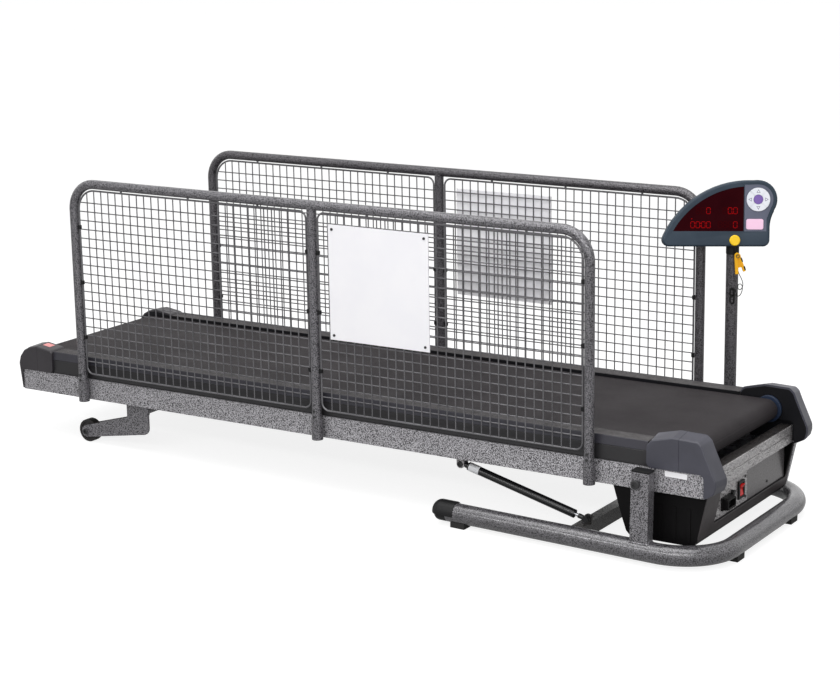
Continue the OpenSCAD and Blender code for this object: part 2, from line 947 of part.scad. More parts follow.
module front_cap_outline() {
  rounded(cap_round)
    polygon(concat([[front_cap_x, cap_seat]],
    [for (s = front_cap_shares) [front_cap_x + s[0] * front_cap_l, cap_seat + s[1] * front_cap_h]],
    [[rail_front + seat_gap, rail_bottom + inset], [rail_front + seat_gap, cap_seat]]));
}

module rear_cap_outline() {
  rounded(cap_round)
    polygon(concat([[-rear_cap_x, cap_seat]],
    [for (s = rear_cap_shares) [-rear_cap_x - s[0] * rear_cap_l, cap_seat + s[1] * rear_cap_h]],
    [[-rail_rear - edge_gap, rail_bottom + inset], [-rail_rear - seat_gap, rail_bottom + inset],
      [-rail_rear - seat_gap, cap_seat]]));
}

// A moulded cap with stepped edges, hollow and open below, from an outline given as the child
module cap_shell(y_in, x_lo, x_hi) {
  difference() {
    union() {
      slab_y(y_in + cap_edge, cap_out - cap_edge)
        children();
      slab_y(y_in, cap_out)
        offset(delta = -cap_edge)
          children();
    }
    slab_y(y_in + cap_wall, cap_out - cap_wall) {
      offset(delta = -cap_wall)
        children();
      translate([x_lo, cap_seat - overrun])
        square([x_hi - x_lo, cap_wall + 2 * overrun]);
    }
  }
}

module front_caps() {
  color(moulded_black)
    on_deck()
      each_side()
        difference() {
          cap_shell(front_cap_in, front_cap_x + cap_wall, rail_front - cap_wall)
            front_cap_outline();
          translate([front_roller_x, 0, roller_z])
            rod_y(shaft_d + 2 * cap_hole_gap, front_cap_in - overrun, front_cap_in + cap_wall + overrun);
        }
}

module rear_caps() {
  color(moulded_black)
    on_deck()
      each_side()
        difference() {
          cap_shell(rear_cap_in, -rail_rear + cap_wall, -rear_cap_x - cap_wall)
            rear_cap_outline();
          translate([-rear_roller_x, 0, roller_z])
            rod_y(shaft_d + 2 * cap_hole_gap, rear_cap_in - overrun, rear_cap_in + cap_wall + overrun);
          translate([0, bracket_in + bracket_w / 2, roller_z])
            rod_x(tension_head_d + 2 * fit, -rear_cap_x - rear_cap_l - overrun, -rail_rear);
        }
}

module pan_outline() {
  polygon([for (s = pan_shares)
    [s[0] * (pan_rear + pan_front) - pan_rear, rail_bottom - seat_gap - s[1] * pan_depth]]);
}

module motor_pan() {
  color(moulded_black)
    on_deck()
      difference() {
        union() {
          slab_y(-pan_half, pan_half)
            pan_outline();
          each_side()
            for (i = [0 : pan_rib_count - 1])
              translate([i * pan_rib_pitch - pan_rib_start, 0, 0])
                block([0, pan_half - pan_wall / 2, rail_bottom - pan_rib_low_share * pan_depth],
                  [pan_rib_w, pan_half + pan_rib_h, rail_bottom - pan_rib_top_share * pan_depth]);
        }
        slab_y(pan_wall - pan_half, pan_half - pan_wall) {
          offset(delta = -pan_wall)
            pan_outline();
          translate([pan_wall + edge_gap - pan_rear, rail_bottom - pan_wall - overrun])
            square([pan_rear + pan_front - 2 * pan_wall - 2 * edge_gap, pan_wall + 2 * overrun]);
        }
        block([plate_x + plate_t, -switch_plate_right, -plate_low],
          [pan_front + overrun, blank_plate_left, rail_bottom + overrun]);
      }
}

module plate_blank(right, left) {
  block([plate_x, right, -plate_low], [plate_x + plate_t - seat_gap, left, plate_top]);
}

module switch_plate() {
  color(hammertone)
    on_deck()
      difference() {
        plate_blank(seat_gap - switch_plate_right, switch_plate_left);
        translate([plate_x, inlet_y, inlet_z])
          block([-overrun, -inlet_body_w / 2 - seat_gap, -inlet_body_h / 2 - seat_gap],
            [plate_t + overrun, inlet_body_w / 2 + seat_gap, inlet_body_h / 2 + seat_gap]);
        translate([plate_x, breaker_y, breaker_z])
          rod_x(breaker_d + 2 * fit, -overrun, plate_t + overrun);
        translate([plate_x, rocker_y, rocker_z])
          block([-overrun, -bezel_w / 2 - seat_gap, -bezel_h / 2 - seat_gap],
            [plate_t + overrun, bezel_w / 2 + seat_gap, bezel_h / 2 + seat_gap]);
      }
}

module blank_plate() {
  color([0.15, 0.15, 0.16])
    on_deck()
      plate_blank(switch_plate_left + edge_gap, blank_plate_left - seat_gap);
}

module power_inlet() {
  front = plate_t + inlet_out;
  color(moulded_black)
    on_deck()
      translate([plate_x, inlet_y, inlet_z]) {
        difference() {
          union() {
            block([-inlet_back, -inlet_body_w / 2, -inlet_body_h / 2],
              [front, inlet_body_w / 2, inlet_body_h / 2]);
            block([plate_t, -inlet_w / 2, -inlet_h / 2],
              [plate_t + inlet_flange_t, inlet_w / 2, inlet_h / 2]);
          }
          block([front - socket_depth, -socket_w / 2, -socket_h / 2],
            [front + overrun, socket_w / 2, socket_h / 2]);
        }
        for (i = [-1 : 1])
          translate([front - socket_depth - overrun, i * pin_slot_pitch, 0])
            block([0, -pin_slot_w / 2, -pin_slot_h / 2],
              [socket_depth - overrun, pin_slot_w / 2, pin_slot_h / 2]);
      }
}

module switch_bezel() {
  hole_w = rocker_w + 2 * body_gap;
  hole_h = rocker_h + 2 * rocker_swing_gap;
  color(moulded_black)
    on_deck()
      translate([plate_x, rocker_y, rocker_z]) {
        difference() {
          union() {
            block([-rocker_body_l, -bezel_w / 2, -bezel_h / 2], [plate_t, bezel_w / 2, bezel_h / 2]);
            block([plate_t, -bezel_w / 2 - rocker_rim / 2, -bezel_h / 2 - rocker_rim / 2],
              [plate_t + rocker_front, bezel_w / 2 + rocker_rim / 2, bezel_h / 2 + rocker_rim / 2]);
          }
          block([rocker_rim - rocker_body_l, -hole_w / 2, -hole_h / 2],
            [plate_t + rocker_front + overrun, hole_w / 2, hole_h / 2]);
        }
        translate([plate_t, 0, 0])
          rod_y(rocker_pin_d, -bezel_w / 2, bezel_w / 2);
      }
}

// The rocker, drawn tipped to one side and free to tip as far to the other
module rocker_switch() {
  color([0.75, 0.05, 0.07])
    on_deck()
      translate([plate_x + plate_t, rocker_y, rocker_z])
        rotate([0, rocker_rest, 0])
          difference() {
            slab_y(-rocker_w / 2, rocker_w / 2)
              polygon([for (s = rocker_shares) [s[0] * 2 * rocker_t, s[1] * rocker_h]]);
            rod_y(rocker_pin_d + 2 * fit, -rocker_w, rocker_w);
          }
}

module breaker_button() {
  color([0.12, 0.12, 0.13])
    on_deck()
      translate([plate_x, breaker_y, breaker_z])
        rod_x(breaker_d, -breaker_back, plate_t + breaker_out);
}

// Drive

module drive_motor() {
  color([0.25, 0.25, 0.26])
    on_deck()
      translate([motor_x, 0, motor_z])
        difference() {
          union() {
            rod_y(motor_d, motor_bell_l - motor_end, motor_l - motor_end - motor_bell_l);
            rod_y(motor_d - 2 * motor_bell_step, -motor_end, motor_l - motor_end);
          }
          rod_y(motor_shaft_d + 2 * fit, -motor_end - overrun, motor_bore - motor_end);
        }
}

module motor_pulley() {
  color(steel)
    on_deck()
      translate([motor_x, 0, motor_z]) {
        rod_y(motor_shaft_d, -pulley_y - pulley_w / 2, motor_bore - motor_end - edge_gap);
        rod_y(motor_pulley_d, -pulley_y - pulley_w / 2, pulley_w / 2 - pulley_y);
        rod_y(flywheel_d, -flywheel_y - flywheel_w / 2, flywheel_w / 2 - flywheel_y);
      }
}

module motor_mount() {
  color([0.18, 0.18, 0.19])
    on_deck()
      difference() {
        union() {
          block([-mount_back, seat_gap - rail_in, rail_bottom],
            [mount_front, rail_in - seat_gap, rail_bottom + mount_t]);
          for (y = saddle_ys)
            block([motor_x - saddle_l / 2, y, rail_bottom - saddle_drop],
              [motor_x + saddle_l / 2, y + saddle_w, rail_bottom + mount_t / 2]);
        }
        translate([motor_x, 0, motor_z])
          rod_y(motor_d + 2 * seat_gap, -motor_end, motor_l - motor_end);
        block([mount_slot_back, -rail_in - overrun, rail_bottom - overrun],
          [mount_slot_front, pulley_w - pulley_y, rail_bottom + mount_t + overrun]);
      }
}

module motor_controller() {
  low = rail_bottom - seat_gap - pan_depth + pan_wall + seat_gap;
  fin_pitch = controller_w / fin_count;
  color([0.45, 0.46, 0.47])
    on_deck()
      translate([controller_x, controller_y, low]) {
        block([-controller_l / 2, -controller_w / 2, 0], [controller_l / 2, controller_w / 2, controller_h]);
        for (i = [0 : fin_count - 1])
          translate([0, (i + 0.5) * fin_pitch - controller_w / 2, controller_h - overrun])
            block([-controller_l / 2, -fin_t / 2, 0], [controller_l / 2, fin_t / 2, fin_h]);
      }
}

module drive_loop(grow) {
  hull() {
    translate([front_roller_x, roller_z])
      circle(r = roller_pulley_d / 2 + grow);
    translate([motor_x, motor_z])
      circle(r = motor_pulley_d / 2 + grow);
  }
}

module drive_belt() {
  color(rubber_black)
    on_deck()
      slab_y(-pulley_y - pulley_w / 2, pulley_w / 2 - pulley_y)
        difference() {
          drive_loop(body_gap + drive_belt_t);
          drive_loop(body_gap);
        }
}

// Fence

module post_socket(d, bore) {
  difference() {
    rod_z(d, socket_low, socket_top);
    rod_z(bore + 2 * seat_gap, socket_low - overrun, socket_top + overrun);
  }
}

module fence_sockets() {
  color(hammertone)
    on_deck() {
      each_side()
        for (back = post_backs)
          translate([-back, fence_y, 0])
            post_socket(socket_d, fence_tube_d);
      translate([-post_x, console_y, 0])
        post_socket(console_socket_d, console_post_d);
    }
}

module fence_frame() {
  rear = -post_backs[0];
  front = -post_backs[2];
  translate([0, fence_y, 0]) {
    for (x = [rear, front])
      translate([x, 0, 0])
        rod_z(fence_tube_d, socket_low, fence_h - fence_bend_r);
    translate([-mid_post_x, 0, 0])
      rod_z(fence_tube_d, socket_low, fence_h);
    translate([0, 0, fence_h])
      rod_x(fence_tube_d, rear + fence_bend_r, front - fence_bend_r);
    translate([front - fence_bend_r, 0, fence_h - fence_bend_r])
      bend_xz(fence_bend_r, fence_tube_d, 0);
    translate([rear + fence_bend_r, 0, fence_h - fence_bend_r])
      bend_xz(fence_bend_r, fence_tube_d, 1);
  }
}

module fence_frame_left() {
  color(hammertone)
    on_deck()
      fence_frame();
}

module fence_frame_right() {
  color(hammertone)
    on_deck()
      mirror([0, 1, 0])
        fence_frame();
}

// How far a straight wire, at the given distance from a side rod, stops short inside a rounded corner
function corner_cut(dist, r) = dist >= r ? 0 : r - sqrt(r * r - (r - dist) * (r - dist));

// One mesh panel: a bent rod round a grid of two layers of wire, with tabs that reach the fence tube
module mesh_panel(x0, x1, rear_r, front_r) {
  z0 = mesh_bottom;
  z1 = fence_h - mesh_off;
  low_r = mesh_corner_r;
  across = floor((x1 - x0 - mesh_pitch) / mesh_pitch);
  up = floor((z1 - z0 - mesh_pitch) / mesh_pitch);
  x_first = (x0 + x1 - (across - 1) * mesh_pitch) / 2;
  z_first = (z0 + z1 - (up - 1) * mesh_pitch) / 2;
  clear = mesh_rod_d / 2 + weld_gap;
  layer = (wire_d + weld_gap) / 2;
  tab_reach = mesh_off - fence_tube_d / 2 - seat_gap;
  translate([0, 0, z0])
    rod_x(mesh_rod_d, x0 + low_r, x1 - low_r);
  translate([0, 0, z1])
    rod_x(mesh_rod_d, x0 + rear_r, x1 - front_r);
  translate([x0, 0, 0])
    rod_z(mesh_rod_d, z0 + low_r, z1 - rear_r);
  translate([x1, 0, 0])
    rod_z(mesh_rod_d, z0 + low_r, z1 - front_r);
  translate([x1 - front_r, 0, z1 - front_r])
    bend_xz(front_r, mesh_rod_d, 0);
  translate([x0 + rear_r, 0, z1 - rear_r])
    bend_xz(rear_r, mesh_rod_d, 1);
  translate([x0 + low_r, 0, z0 + low_r])
    bend_xz(low_r, mesh_rod_d, 2);
  translate([x1 - low_r, 0, z0 + low_r])
    bend_xz(low_r, mesh_rod_d, 3);
  for (share = mesh_tab_shares) {
    translate([0, 0, z0 + share * (z1 - z0)]) {
      rod_x(mesh_tab_d, x0 - tab_reach, x0);
      rod_x(mesh_tab_d, x1, x1 + tab_reach);
    }
    translate([x0 + share * (x1 - x0), 0, 0])
      rod_z(mesh_tab_d, z1, z1 + tab_reach);
  }
  for (i = [0 : across - 1]) {
    x = x_first + i * mesh_pitch;
    top = z1 - clear - max(corner_cut(x - x0, rear_r), corner_cut(x1 - x, front_r));
    low = z0 + clear + max(corner_cut(x - x0, low_r), corner_cut(x1 - x, low_r));
    translate([x, layer, 0])
      rod_z(wire_d, low, top, $fn = 16);
  }
  for (i = [0 : up - 1]) {
    z = z_first + i * mesh_pitch;
    rear = x0 + clear + max(corner_cut(z1 - z, rear_r), corner_cut(z - z0, low_r));
    front = x1 - clear - max(corner_cut(z1 - z, front_r), corner_cut(z - z0, low_r));
    translate([0, -layer, z])
      rod_x(wire_d, rear, front, $fn = 16);
  }
}

module fence_mesh() {
  bend_r = fence_bend_r - mesh_off;
  translate([0, fence_y, 0]) {
    mesh_panel(mesh_off - post_backs[0], -post_backs[1] - mesh_off, bend_r, mesh_corner_r);
    mesh_panel(mesh_off - post_backs[1], -post_backs[2] - mesh_off, mesh_corner_r, bend_r);
  }
}

module fence_mesh_left() {
  color(steel)
    on_deck()
      fence_mesh();
}

module fence_mesh_right() {
  color(steel)
    on_deck()
      mirror([0, 1, 0])
        fence_mesh();
}

module sign_plates() {
  color([0.93, 0.93, 0.92])
    on_deck()
      each_side()
        block([sign_x - sign_side / 2, sign_y, sign_z - sign_side / 2],
          [sign_x + sign_side / 2, sign_y + sign_t, sign_z + sign_side / 2]);
}

module console_post() {
  color(hammertone)
    on_deck()
      translate([-post_x, console_y, 0])
        rod_z(console_post_d, socket_low, console_h + post_in_console);
}

// Gas strut, drawn along X from its upper eye to its lower eye

module along_strut() {
  on_deck()
    translate([-strut_top_back, -strut_y, -strut_top_drop])
      rotate([0, atan2(strut_foot_drop - strut_top_drop, strut_top_back - strut_foot_back), 0])
        children();
}

module strut_cylinder() {
  color(moulded_black)
    along_strut()
      difference() {
        union() {
          rod_y(2 * strut_eye_r, -strut_eye_w / 2, strut_eye_w / 2);
          rod_x(strut_neck_d, strut_pin_d, 2 * cylinder_d);
          rod_x(cylinder_d, strut_eye_r + cylinder_d / 2, strut_cylinder_share * strut_l);
        }
        rod_y(strut_pin_d + 2 * fit, -strut_eye_w, strut_eye_w);
        rod_x(piston_rod_d + 2 * fit, strut_rod_start_share * strut_l - strut_room, strut_l);
      }
}

// The piston rod carries its own pin, which ends beside the lug on the floor base
module strut_rod() {
  color(steel)
    along_strut() {
      rod_x(piston_rod_d, strut_rod_start_share * strut_l, strut_l - strut_eye_r / 2);
      translate([strut_l, 0, 0]) {
        rod_y(2 * strut_eye_r, -strut_eye_w / 2, strut_eye_w / 2);
        rod_y(strut_pin_d, -strut_eye_w, strut_eye_w / 2 + strut_lug_gap / 2);
        rod_y(2 * strut_pin_d, -strut_eye_w, -strut_eye_w / 2 - strut_lug_gap);
      }
    }
}

// Rear lift legs

module leg_outline() {
  front = leg_half_w - lift_back;
  rear = -leg_half_w - lift_back;
  toe = [-axle_back, axle_z];
  polygon([[front, lift_z + leg_top_r / 2], [front, -leg_front_drop],
    [front - leg_corner_r, -leg_front_drop - leg_corner_r], toe + leg_toe_r * toe_low_shares,
    toe + leg_toe_r * toe_top_shares, [rear, -leg_knee_drop], [rear, lift_z + leg_top_r / 2],
    [rear + leg_top_r / 2, lift_z + leg_top_r], [front - leg_top_r / 2, lift_z + leg_top_r]]);
  translate([front - leg_corner_r, -leg_front_drop])
    circle(r = leg_corner_r);
  translate(toe)
    circle(r = leg_toe_r);
}

module lift_frame() {
  ear_out = lift_eye_w / 2 + lift_ear_gap + lug_t;
  leg_rear = -axle_back - leg_toe_r;
  color(hammertone)
    on_deck() {
      difference() {
        union() {
          each_side() {
            slab_y(leg_out - leg_plate_t, leg_out)
              leg_outline();
            slab_y(leg_in, leg_in + leg_plate_t)
              intersection() {
                leg_outline();
                polygon([[leg_rear, axle_z - leg_toe_r], [-lift_back - lift_tube_x, axle_z - leg_toe_r],
                  [lift_tube_x - lift_back, lift_z - lift_tube_drop],
                  [lift_tube_x - lift_back, lift_z - leg_toe_r], [leg_rear, lift_z - leg_toe_r]]);
              }
            translate([-axle_back, 0, axle_z]) {
              rod_y(axle_d, leg_in - axle_head_h, leg_out + axle_head_h);
              rod_y(axle_head_d, leg_out - leg_plate_t / 2, leg_out + axle_head_h);
              rod_y(axle_head_d, leg_in - axle_head_h, leg_in + leg_plate_t / 2);
            }
          }
          translate([lift_tube_x - lift_back, 0, lift_z - lift_tube_drop])
            rod_y(lift_tube_d, leg_plate_t / 2 - leg_out, leg_out - leg_plate_t / 2);
          each_side()
            slab_y(ear_out - lug_t, ear_out) {
              translate([lift_lug_x - lift_back, lift_z - lift_lug_drop])
                circle(r = lift_lug_r);
              translate([lift_lug_x - lift_back - lift_lug_r, lift_z - lift_lug_drop])
                square([2 * lift_lug_r, lift_lug_drop - lift_tube_drop]);
            }
        }
        translate([-lift_back, 0, lift_z])
          rod_y(lift_pin_d + 2 * fit, -rail_in, rail_in);
        translate([lift_lug_x - lift_back, 0, lift_z - lift_lug_drop])
          rod_y(lift_pivot_d + 2 * lift_pivot_free, -ear_out - overrun, ear_out + overrun);
      }
    }
}

module wheel() {
  mid = leg_in + leg_plate_t + wheel_gap + wheel_w / 2;
  translate([-axle_back, mid, axle_z])
    difference() {
      rod_y(wheel_d, -wheel_w / 2, wheel_w / 2);
      rod_y(axle_d + 2 * fit, -wheel_w, wheel_w);
      for (side = [0, 1])
        mirror([0, side, 0])
          difference() {
            rod_y(wheel_d - 2 * wheel_tread, wheel_w / 2 - wheel_dish, wheel_w / 2 + overrun);
            rod_y(wheel_hub_d, wheel_w / 2 - 2 * wheel_dish, wheel_w / 2 + 2 * overrun);
          }
    }
}

module wheel_left() {
  color(rubber_black)
    on_deck()
      wheel();
}

module wheel_right() {
  color(rubber_black)
    on_deck()
      mirror([0, 1, 0])
        wheel();
}

// Lift actuator, drawn along X from its fixed eye to the lug on the lift legs

module along_actuator() {
  on_deck()
    translate([-actuator_back, 0, -actuator_drop])
      rotate([0, atan2(lift_lug_drop - lift_z - actuator_drop, lift_lug_x - lift_back + actuator_back), 0])
        children();
}

module lift_motor() {
  color(moulded_black)
    along_actuator()
      difference() {
        union() {
          rod_y(2 * lift_lug_r, -lift_eye_w / 2, lift_eye_w / 2);
          rod_x(lift_eye_w, lift_pivot_d, 2 * lift_eye_w);
          rod_x(actuator_body_d, lift_lug_r + lift_eye_w / 2, actuator_body_l);
          translate([0, actuator_motor_d * actuator_offset_share, 0])
            rod_x(actuator_motor_d, lift_eye_w + lift_lug_r, lift_eye_w + lift_lug_r + actuator_motor_l);
        }
        rod_y(lift_pivot_d + 2 * fit, -lift_eye_w, lift_eye_w);
        rod_x(actuator_tube_d + 2 * fit, actuator_body_l - actuator_overlap - overrun,
          actuator_body_l + overrun);
      }
}

module lift_screw() {
  ear_out = lift_eye_w / 2 + lift_ear_gap + lug_t;
  color(steel)
    along_actuator() {
      rod_x(actuator_tube_d, actuator_body_l - actuator_overlap, actuator_l - 2 * lift_lug_r);
      rod_x(lift_eye_w, actuator_l - 2 * lift_lug_r - overrun, actuator_l - lift_pivot_d / 2);
      translate([actuator_l, 0, 0]) {
        rod_y(2 * lift_eye_r, -lift_eye_w / 2, lift_eye_w / 2);
        rod_y(lift_pivot_d, -ear_out - lift_pin_end, ear_out + lift_pin_end);
      }
    }
}

// Console, drawn upright in its own plane and then leaned back and turned on its post

module at_post_top() {
  on_deck()
    translate([-post_x, console_y, console_h])
      rotate([0, 0, console_turn])
        children();
}

module at_console() {
  at_post_top()
    rotate([-console_lean, 0, 0])
      rotate([0, console_level, 0])
        children();
}

function arc(c, r, angles) =
  [for (i = [0 : arc_steps])
    let (a = angles[0] + (angles[1] - angles[0]) * i / arc_steps)
      c + r * [cos(a), sin(a)]];

function console_points() =
  [for (i = [0 : len(face) - 1]) each arc([face[i].x, face[i].y], face[i].z, face_angles[i])];

function level_points() =
  [for (p = console_points())
    [p.x * cos(console_level) + p.y * sin(console_level), p.y * cos(console_level) - p.x * sin(console_level)]];

module console_outline() {
  polygon(console_points());
}

module window_outline(grow) {
  r = sweep_r - window_inset + grow;
  side = window_side + grow;
  low = window_low - grow;
  polygon(concat([[side, low]],
    arc(sweep_c, r, [acos((side - sweep_c.x) / r), 180 - asin((low - sweep_c.y) / r)])));
}

module panel_outline(grow) {
  r = sweep_r - panel_inset + grow;
  side = panel_side - grow;
  low = panel_low - grow;
  polygon(concat([[side, low], [panel_right + grow, low], [panel_right + grow, stop_c.y + stop_h / 2]],
    arc(bulge_c, bulge_r - panel_inset + grow, [face_angles[2][0], 90]),
    [[side, sweep_c.y + sqrt(r * r - (side - sweep_c.x) * (side - sweep_c.x))]]));
}

module stop_outline(grow) {
  w = stop_w + 2 * grow;
  h = stop_h + 2 * grow;
  translate(stop_c) {
    square([w, h - 2 * stop_round], center = true);
    square([w - 2 * stop_round, h], center = true);
    for (dx = [-1, 1], dz = [-1, 1])
      translate([dx * (w / 2 - stop_round), dz * (h / 2 - stop_round)])
        circle(r = stop_round);
  }
}

module console_front() {
  back = bezel_front + bezel_t;
  color(console_blue)
    at_console()
      difference() {
        slab_y(bezel_front, back - seat_gap)
          console_outline();
        slab_y(bezel_front - overrun, back + overrun)
          window_outline(fit);
        slab_y(bezel_front - overrun, bezel_front + panel_t + seat_gap)
          panel_outline(fit);
        slab_y(bezel_front - overrun, bezel_front + panel_t + well_depth) {
          translate(dial_c)
            circle(r = dial_r + key_gap);
          stop_outline(key_gap);
        }
      }
}

module console_back() {
  front = bezel_front + bezel_t;
  color(console_blue)
    difference() {
      union() {
        at_console()
          difference() {
            slab_y(front, front + back_t)
              console_outline();
            slab_y(front - overrun, front + back_t - bezel_wall)
              offset(delta = -bezel_wall)
                console_outline();
          }
        at_post_top()
          rod_z(collar_d, -collar_drop, back_boss);
      }
      at_post_top()
        rod_z(console_post_d + 2 * fit, -collar_drop - overrun, post_in_console + fit);
      at_console()
        slab_y(front - collar_d, front)
          translate([-collar_d, -collar_d])
            square(3 * collar_d);
    }
}

module display_window() {
  color([0.22, 0.05, 0.06])
    at_console()
      slab_y(bezel_front + window_sink, bezel_front + window_sink + window_t)
        window_outline(0);
}

module key_panel() {
  color([0.55, 0.52, 0.62])
    at_console()
      difference() {
        slab_y(bezel_front, bezel_front + panel_t)
          panel_outline(0);
        slab_y(bezel_front - overrun, bezel_front + panel_t + overrun) {
          translate(dial_c)
            circle(r = dial_r + key_gap);
          stop_outline(key_gap);
        }
      }
}

// One key: an outline given as the child, standing proud of the panel
module key() {
  at_console()
    slab_y(bezel_front - key_out, bezel_front - key_out + key_t)
      children();
}

module arrow_key(turn) {
  reach = 2 * dial_r;
  color([0.92, 0.92, 0.94])
    key()
      translate(dial_c)
        rotate(turn)
          intersection() {
            difference() {
              circle(r = dial_r);
              circle(r = centre_key_r + key_ring_gap);
            }
            polygon([[0, 0], reach * [cos(sector_angle / 2), -sin(sector_angle / 2)],
              reach * [cos(sector_angle / 2), sin(sector_angle / 2)]]);
          }
}

module key_right() {
  arrow_key(0);
}

module key_up() {
  arrow_key(90);
}

module key_left() {
  arrow_key(180);
}

module key_down() {
  arrow_key(270);
}

module key_centre() {
  color([0.43, 0.31, 0.63])
    key()
      translate(dial_c)
        circle(r = centre_key_r);
}

module key_stop() {
  color([0.96, 0.74, 0.88])
    key()
      stop_outline(0);
}

// Safety key, clip and cord

module safety_key() {
  color(key_yellow)
    at_console()
      translate([safety_c.x, bezel_front - body_gap, safety_c.y])
        rotate([90, 0, 0]) {
          cylinder(d = safety_d, h = safety_t - safety_dome);
          translate([0, 0, safety_t - safety_dome])
            cylinder(d1 = safety_d, d2 = safety_d - 2 * safety_dome, h = safety_dome);
        }
}

// A sprung clip, drawn from the front as two arms that spread from one end
module safety_clip() {
  color(key_yellow)
    at_post_top()
      slab_y(clip_y, clip_y + clip_t)
        translate(clip_top) {
          circle(d = clip_arm_w + clip_jaw_w);
          rotate(clip_lean)
            translate([-clip_arm_w, -clip_l])
              square([clip_arm_w, clip_l]);
          rotate(clip_jaw_lean)
            translate([0, -clip_jaw_l])
              square([clip_jaw_w, clip_jaw_l]);
        }
}

// A point on a smooth curve through the route, at a place counted in route points
function route_at(pts, s) =
  let (n = len(pts) - 1, i = min(floor(s), n - 1), t = s - i,
    a = pts[max(i - 1, 0)], b = pts[i], c = pts[i + 1], d = pts[min(i + 2, n)])
  0.5 * (2 * b + (c - a) * t + (2 * a - 5 * b + 4 * c - d) * t * t + (3 * b - a - 3 * c + d) * t * t * t);

// The hank: one tube laid in long loops, each loop one cord's width in front of the last
function hank_at(i) =
  let (k = (i + hank_steps / 3) % hank_steps, q = hank_steps / 6, a = (k - q) * 90 / q,
    b = 180 + (k - 4 * q) * 90 / q,
    xz = k < q ? [hank_r, hank_half_l * (2 * k / q - 1)]
      : k < 3 * q ? [hank_r * cos(a), hank_half_l + hank_r * sin(a)]
      : k < 4 * q ? [-hank_r, hank_half_l * (1 - 2 * (k - 3 * q) / q)]
      : [hank_r * cos(b), hank_r * sin(b) - hank_half_l])
  hank_c + [xz[0], -hank_pitch * i / hank_steps, xz[1]];

function unit(v) = v / norm(v);

function ring(p, t, m) =
  let (u = unit(cross(t, [0, 1, 0])), w = unit(cross(t, u)))
  [for (j = [0 : m - 1])
    p + cord_d / 2 * (u * cos(j * 360 / m) + w * sin(j * 360 / m))];

// One closed tube through a list of points
module cord_tube(pts, m) {
  n = len(pts);
  rings = [for (i = [0 : n - 1]) each ring(pts[i], pts[min(i + 1, n - 1)] - pts[max(i - 1, 0)], m)];
  sides = [for (i = [0 : n - 2], j = [0 : m - 1])
    [i * m + j, i * m + (j + 1) % m, (i + 1) * m + (j + 1) % m, (i + 1) * m + j]];
  ends = [[for (j = [0 : m - 1]) m - 1 - j], [for (j = [0 : m - 1]) (n - 1) * m + j]];
  polyhedron(points = rings, faces = concat(sides, ends));
}

cord_points = [for (i = [0 : (len(cord_route) - 1) * cord_steps]) route_at(cord_route, i / cord_steps)];
hank_points = [for (i = [0 : hank_loops * hank_steps]) hank_at(i)];
hank_gap = min([for (i = [0 : hank_steps * (hank_loops - 1) - 1])
  min([for (j = [i + 8 : min(i + hank_steps + 8, len(hank_points) - 1)])
    norm(hank_points[i] - hank_points[j])])]) - cord_d;
cord_gap = min([for (i = [0 : len(cord_points) - 9])
  min([for (j = [i + 8 : len(cord_points) - 1]) norm(cord_points[i] - cord_points[j])])]) - cord_d;
echo(hank_gap = hank_gap, cord_gap = cord_gap);

module safety_cord() {
  color(rubber_black)
    at_post_top()
      cord_tube(cord_points, cord_sides);
}

module cord_hank() {
  color(rubber_black)
    at_post_top()
      cord_tube(hank_points, hank_sides);
}

base_tube();
pivot_posts();
tube_plugs();
base_cross_member();
base_feet();
pivot_bolts();
side_rails();
frame_cross_members();
deck_cushions();
deck_board();
step_rails();
step_skirts();
walking_belt();
roller_brackets();
fasteners();
front_caps();
rear_caps();
motor_pan();
switch_plate();
blank_plate();
power_inlet();
switch_bezel();
drive_motor();
motor_mount();
motor_controller();
drive_belt();
fence_sockets();
fence_frame_left();
fence_frame_right();
fence_mesh_left();
fence_mesh_right();
sign_plates();
console_post();
strut_cylinder();
strut_rod();
lift_frame();
lift_motor();
lift_screw();
wheel_left();
wheel_right();
front_roller();
rear_roller();
motor_pulley();
console_front();
console_back();
display_window();
key_panel();
key_up();
key_down();
key_left();
key_right();
key_centre();
key_stop();
rocker_switch();
breaker_button();
safety_key();
safety_clip();
safety_cord();
cord_hank();
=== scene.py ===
"""Looks for the dog treadmill: camera, cord, moulded covers, console, small trim, finishes and light."""

import json
import math

import bmesh
import bpy
from mathutils import Matrix, Vector

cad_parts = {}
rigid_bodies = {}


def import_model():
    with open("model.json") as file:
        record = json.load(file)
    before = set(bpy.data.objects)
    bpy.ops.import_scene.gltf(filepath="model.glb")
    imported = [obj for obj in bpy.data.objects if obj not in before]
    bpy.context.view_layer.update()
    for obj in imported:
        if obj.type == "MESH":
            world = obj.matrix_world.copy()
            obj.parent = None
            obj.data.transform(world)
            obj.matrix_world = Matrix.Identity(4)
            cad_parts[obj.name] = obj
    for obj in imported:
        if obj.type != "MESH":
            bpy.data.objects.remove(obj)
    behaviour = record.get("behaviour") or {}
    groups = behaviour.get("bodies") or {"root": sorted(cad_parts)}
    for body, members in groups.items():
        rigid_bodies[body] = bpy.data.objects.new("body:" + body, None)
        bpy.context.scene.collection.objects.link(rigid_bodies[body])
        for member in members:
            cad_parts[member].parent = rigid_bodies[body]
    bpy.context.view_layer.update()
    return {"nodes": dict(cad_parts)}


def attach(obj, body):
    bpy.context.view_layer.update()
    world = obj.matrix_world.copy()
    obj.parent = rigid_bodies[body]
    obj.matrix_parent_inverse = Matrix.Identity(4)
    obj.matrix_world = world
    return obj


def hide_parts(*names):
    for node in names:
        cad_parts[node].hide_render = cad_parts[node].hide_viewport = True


for leftover in list(bpy.data.objects):
    bpy.data.objects.remove(leftover)

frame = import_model()
nodes = frame["nodes"]
scene = bpy.context.scene

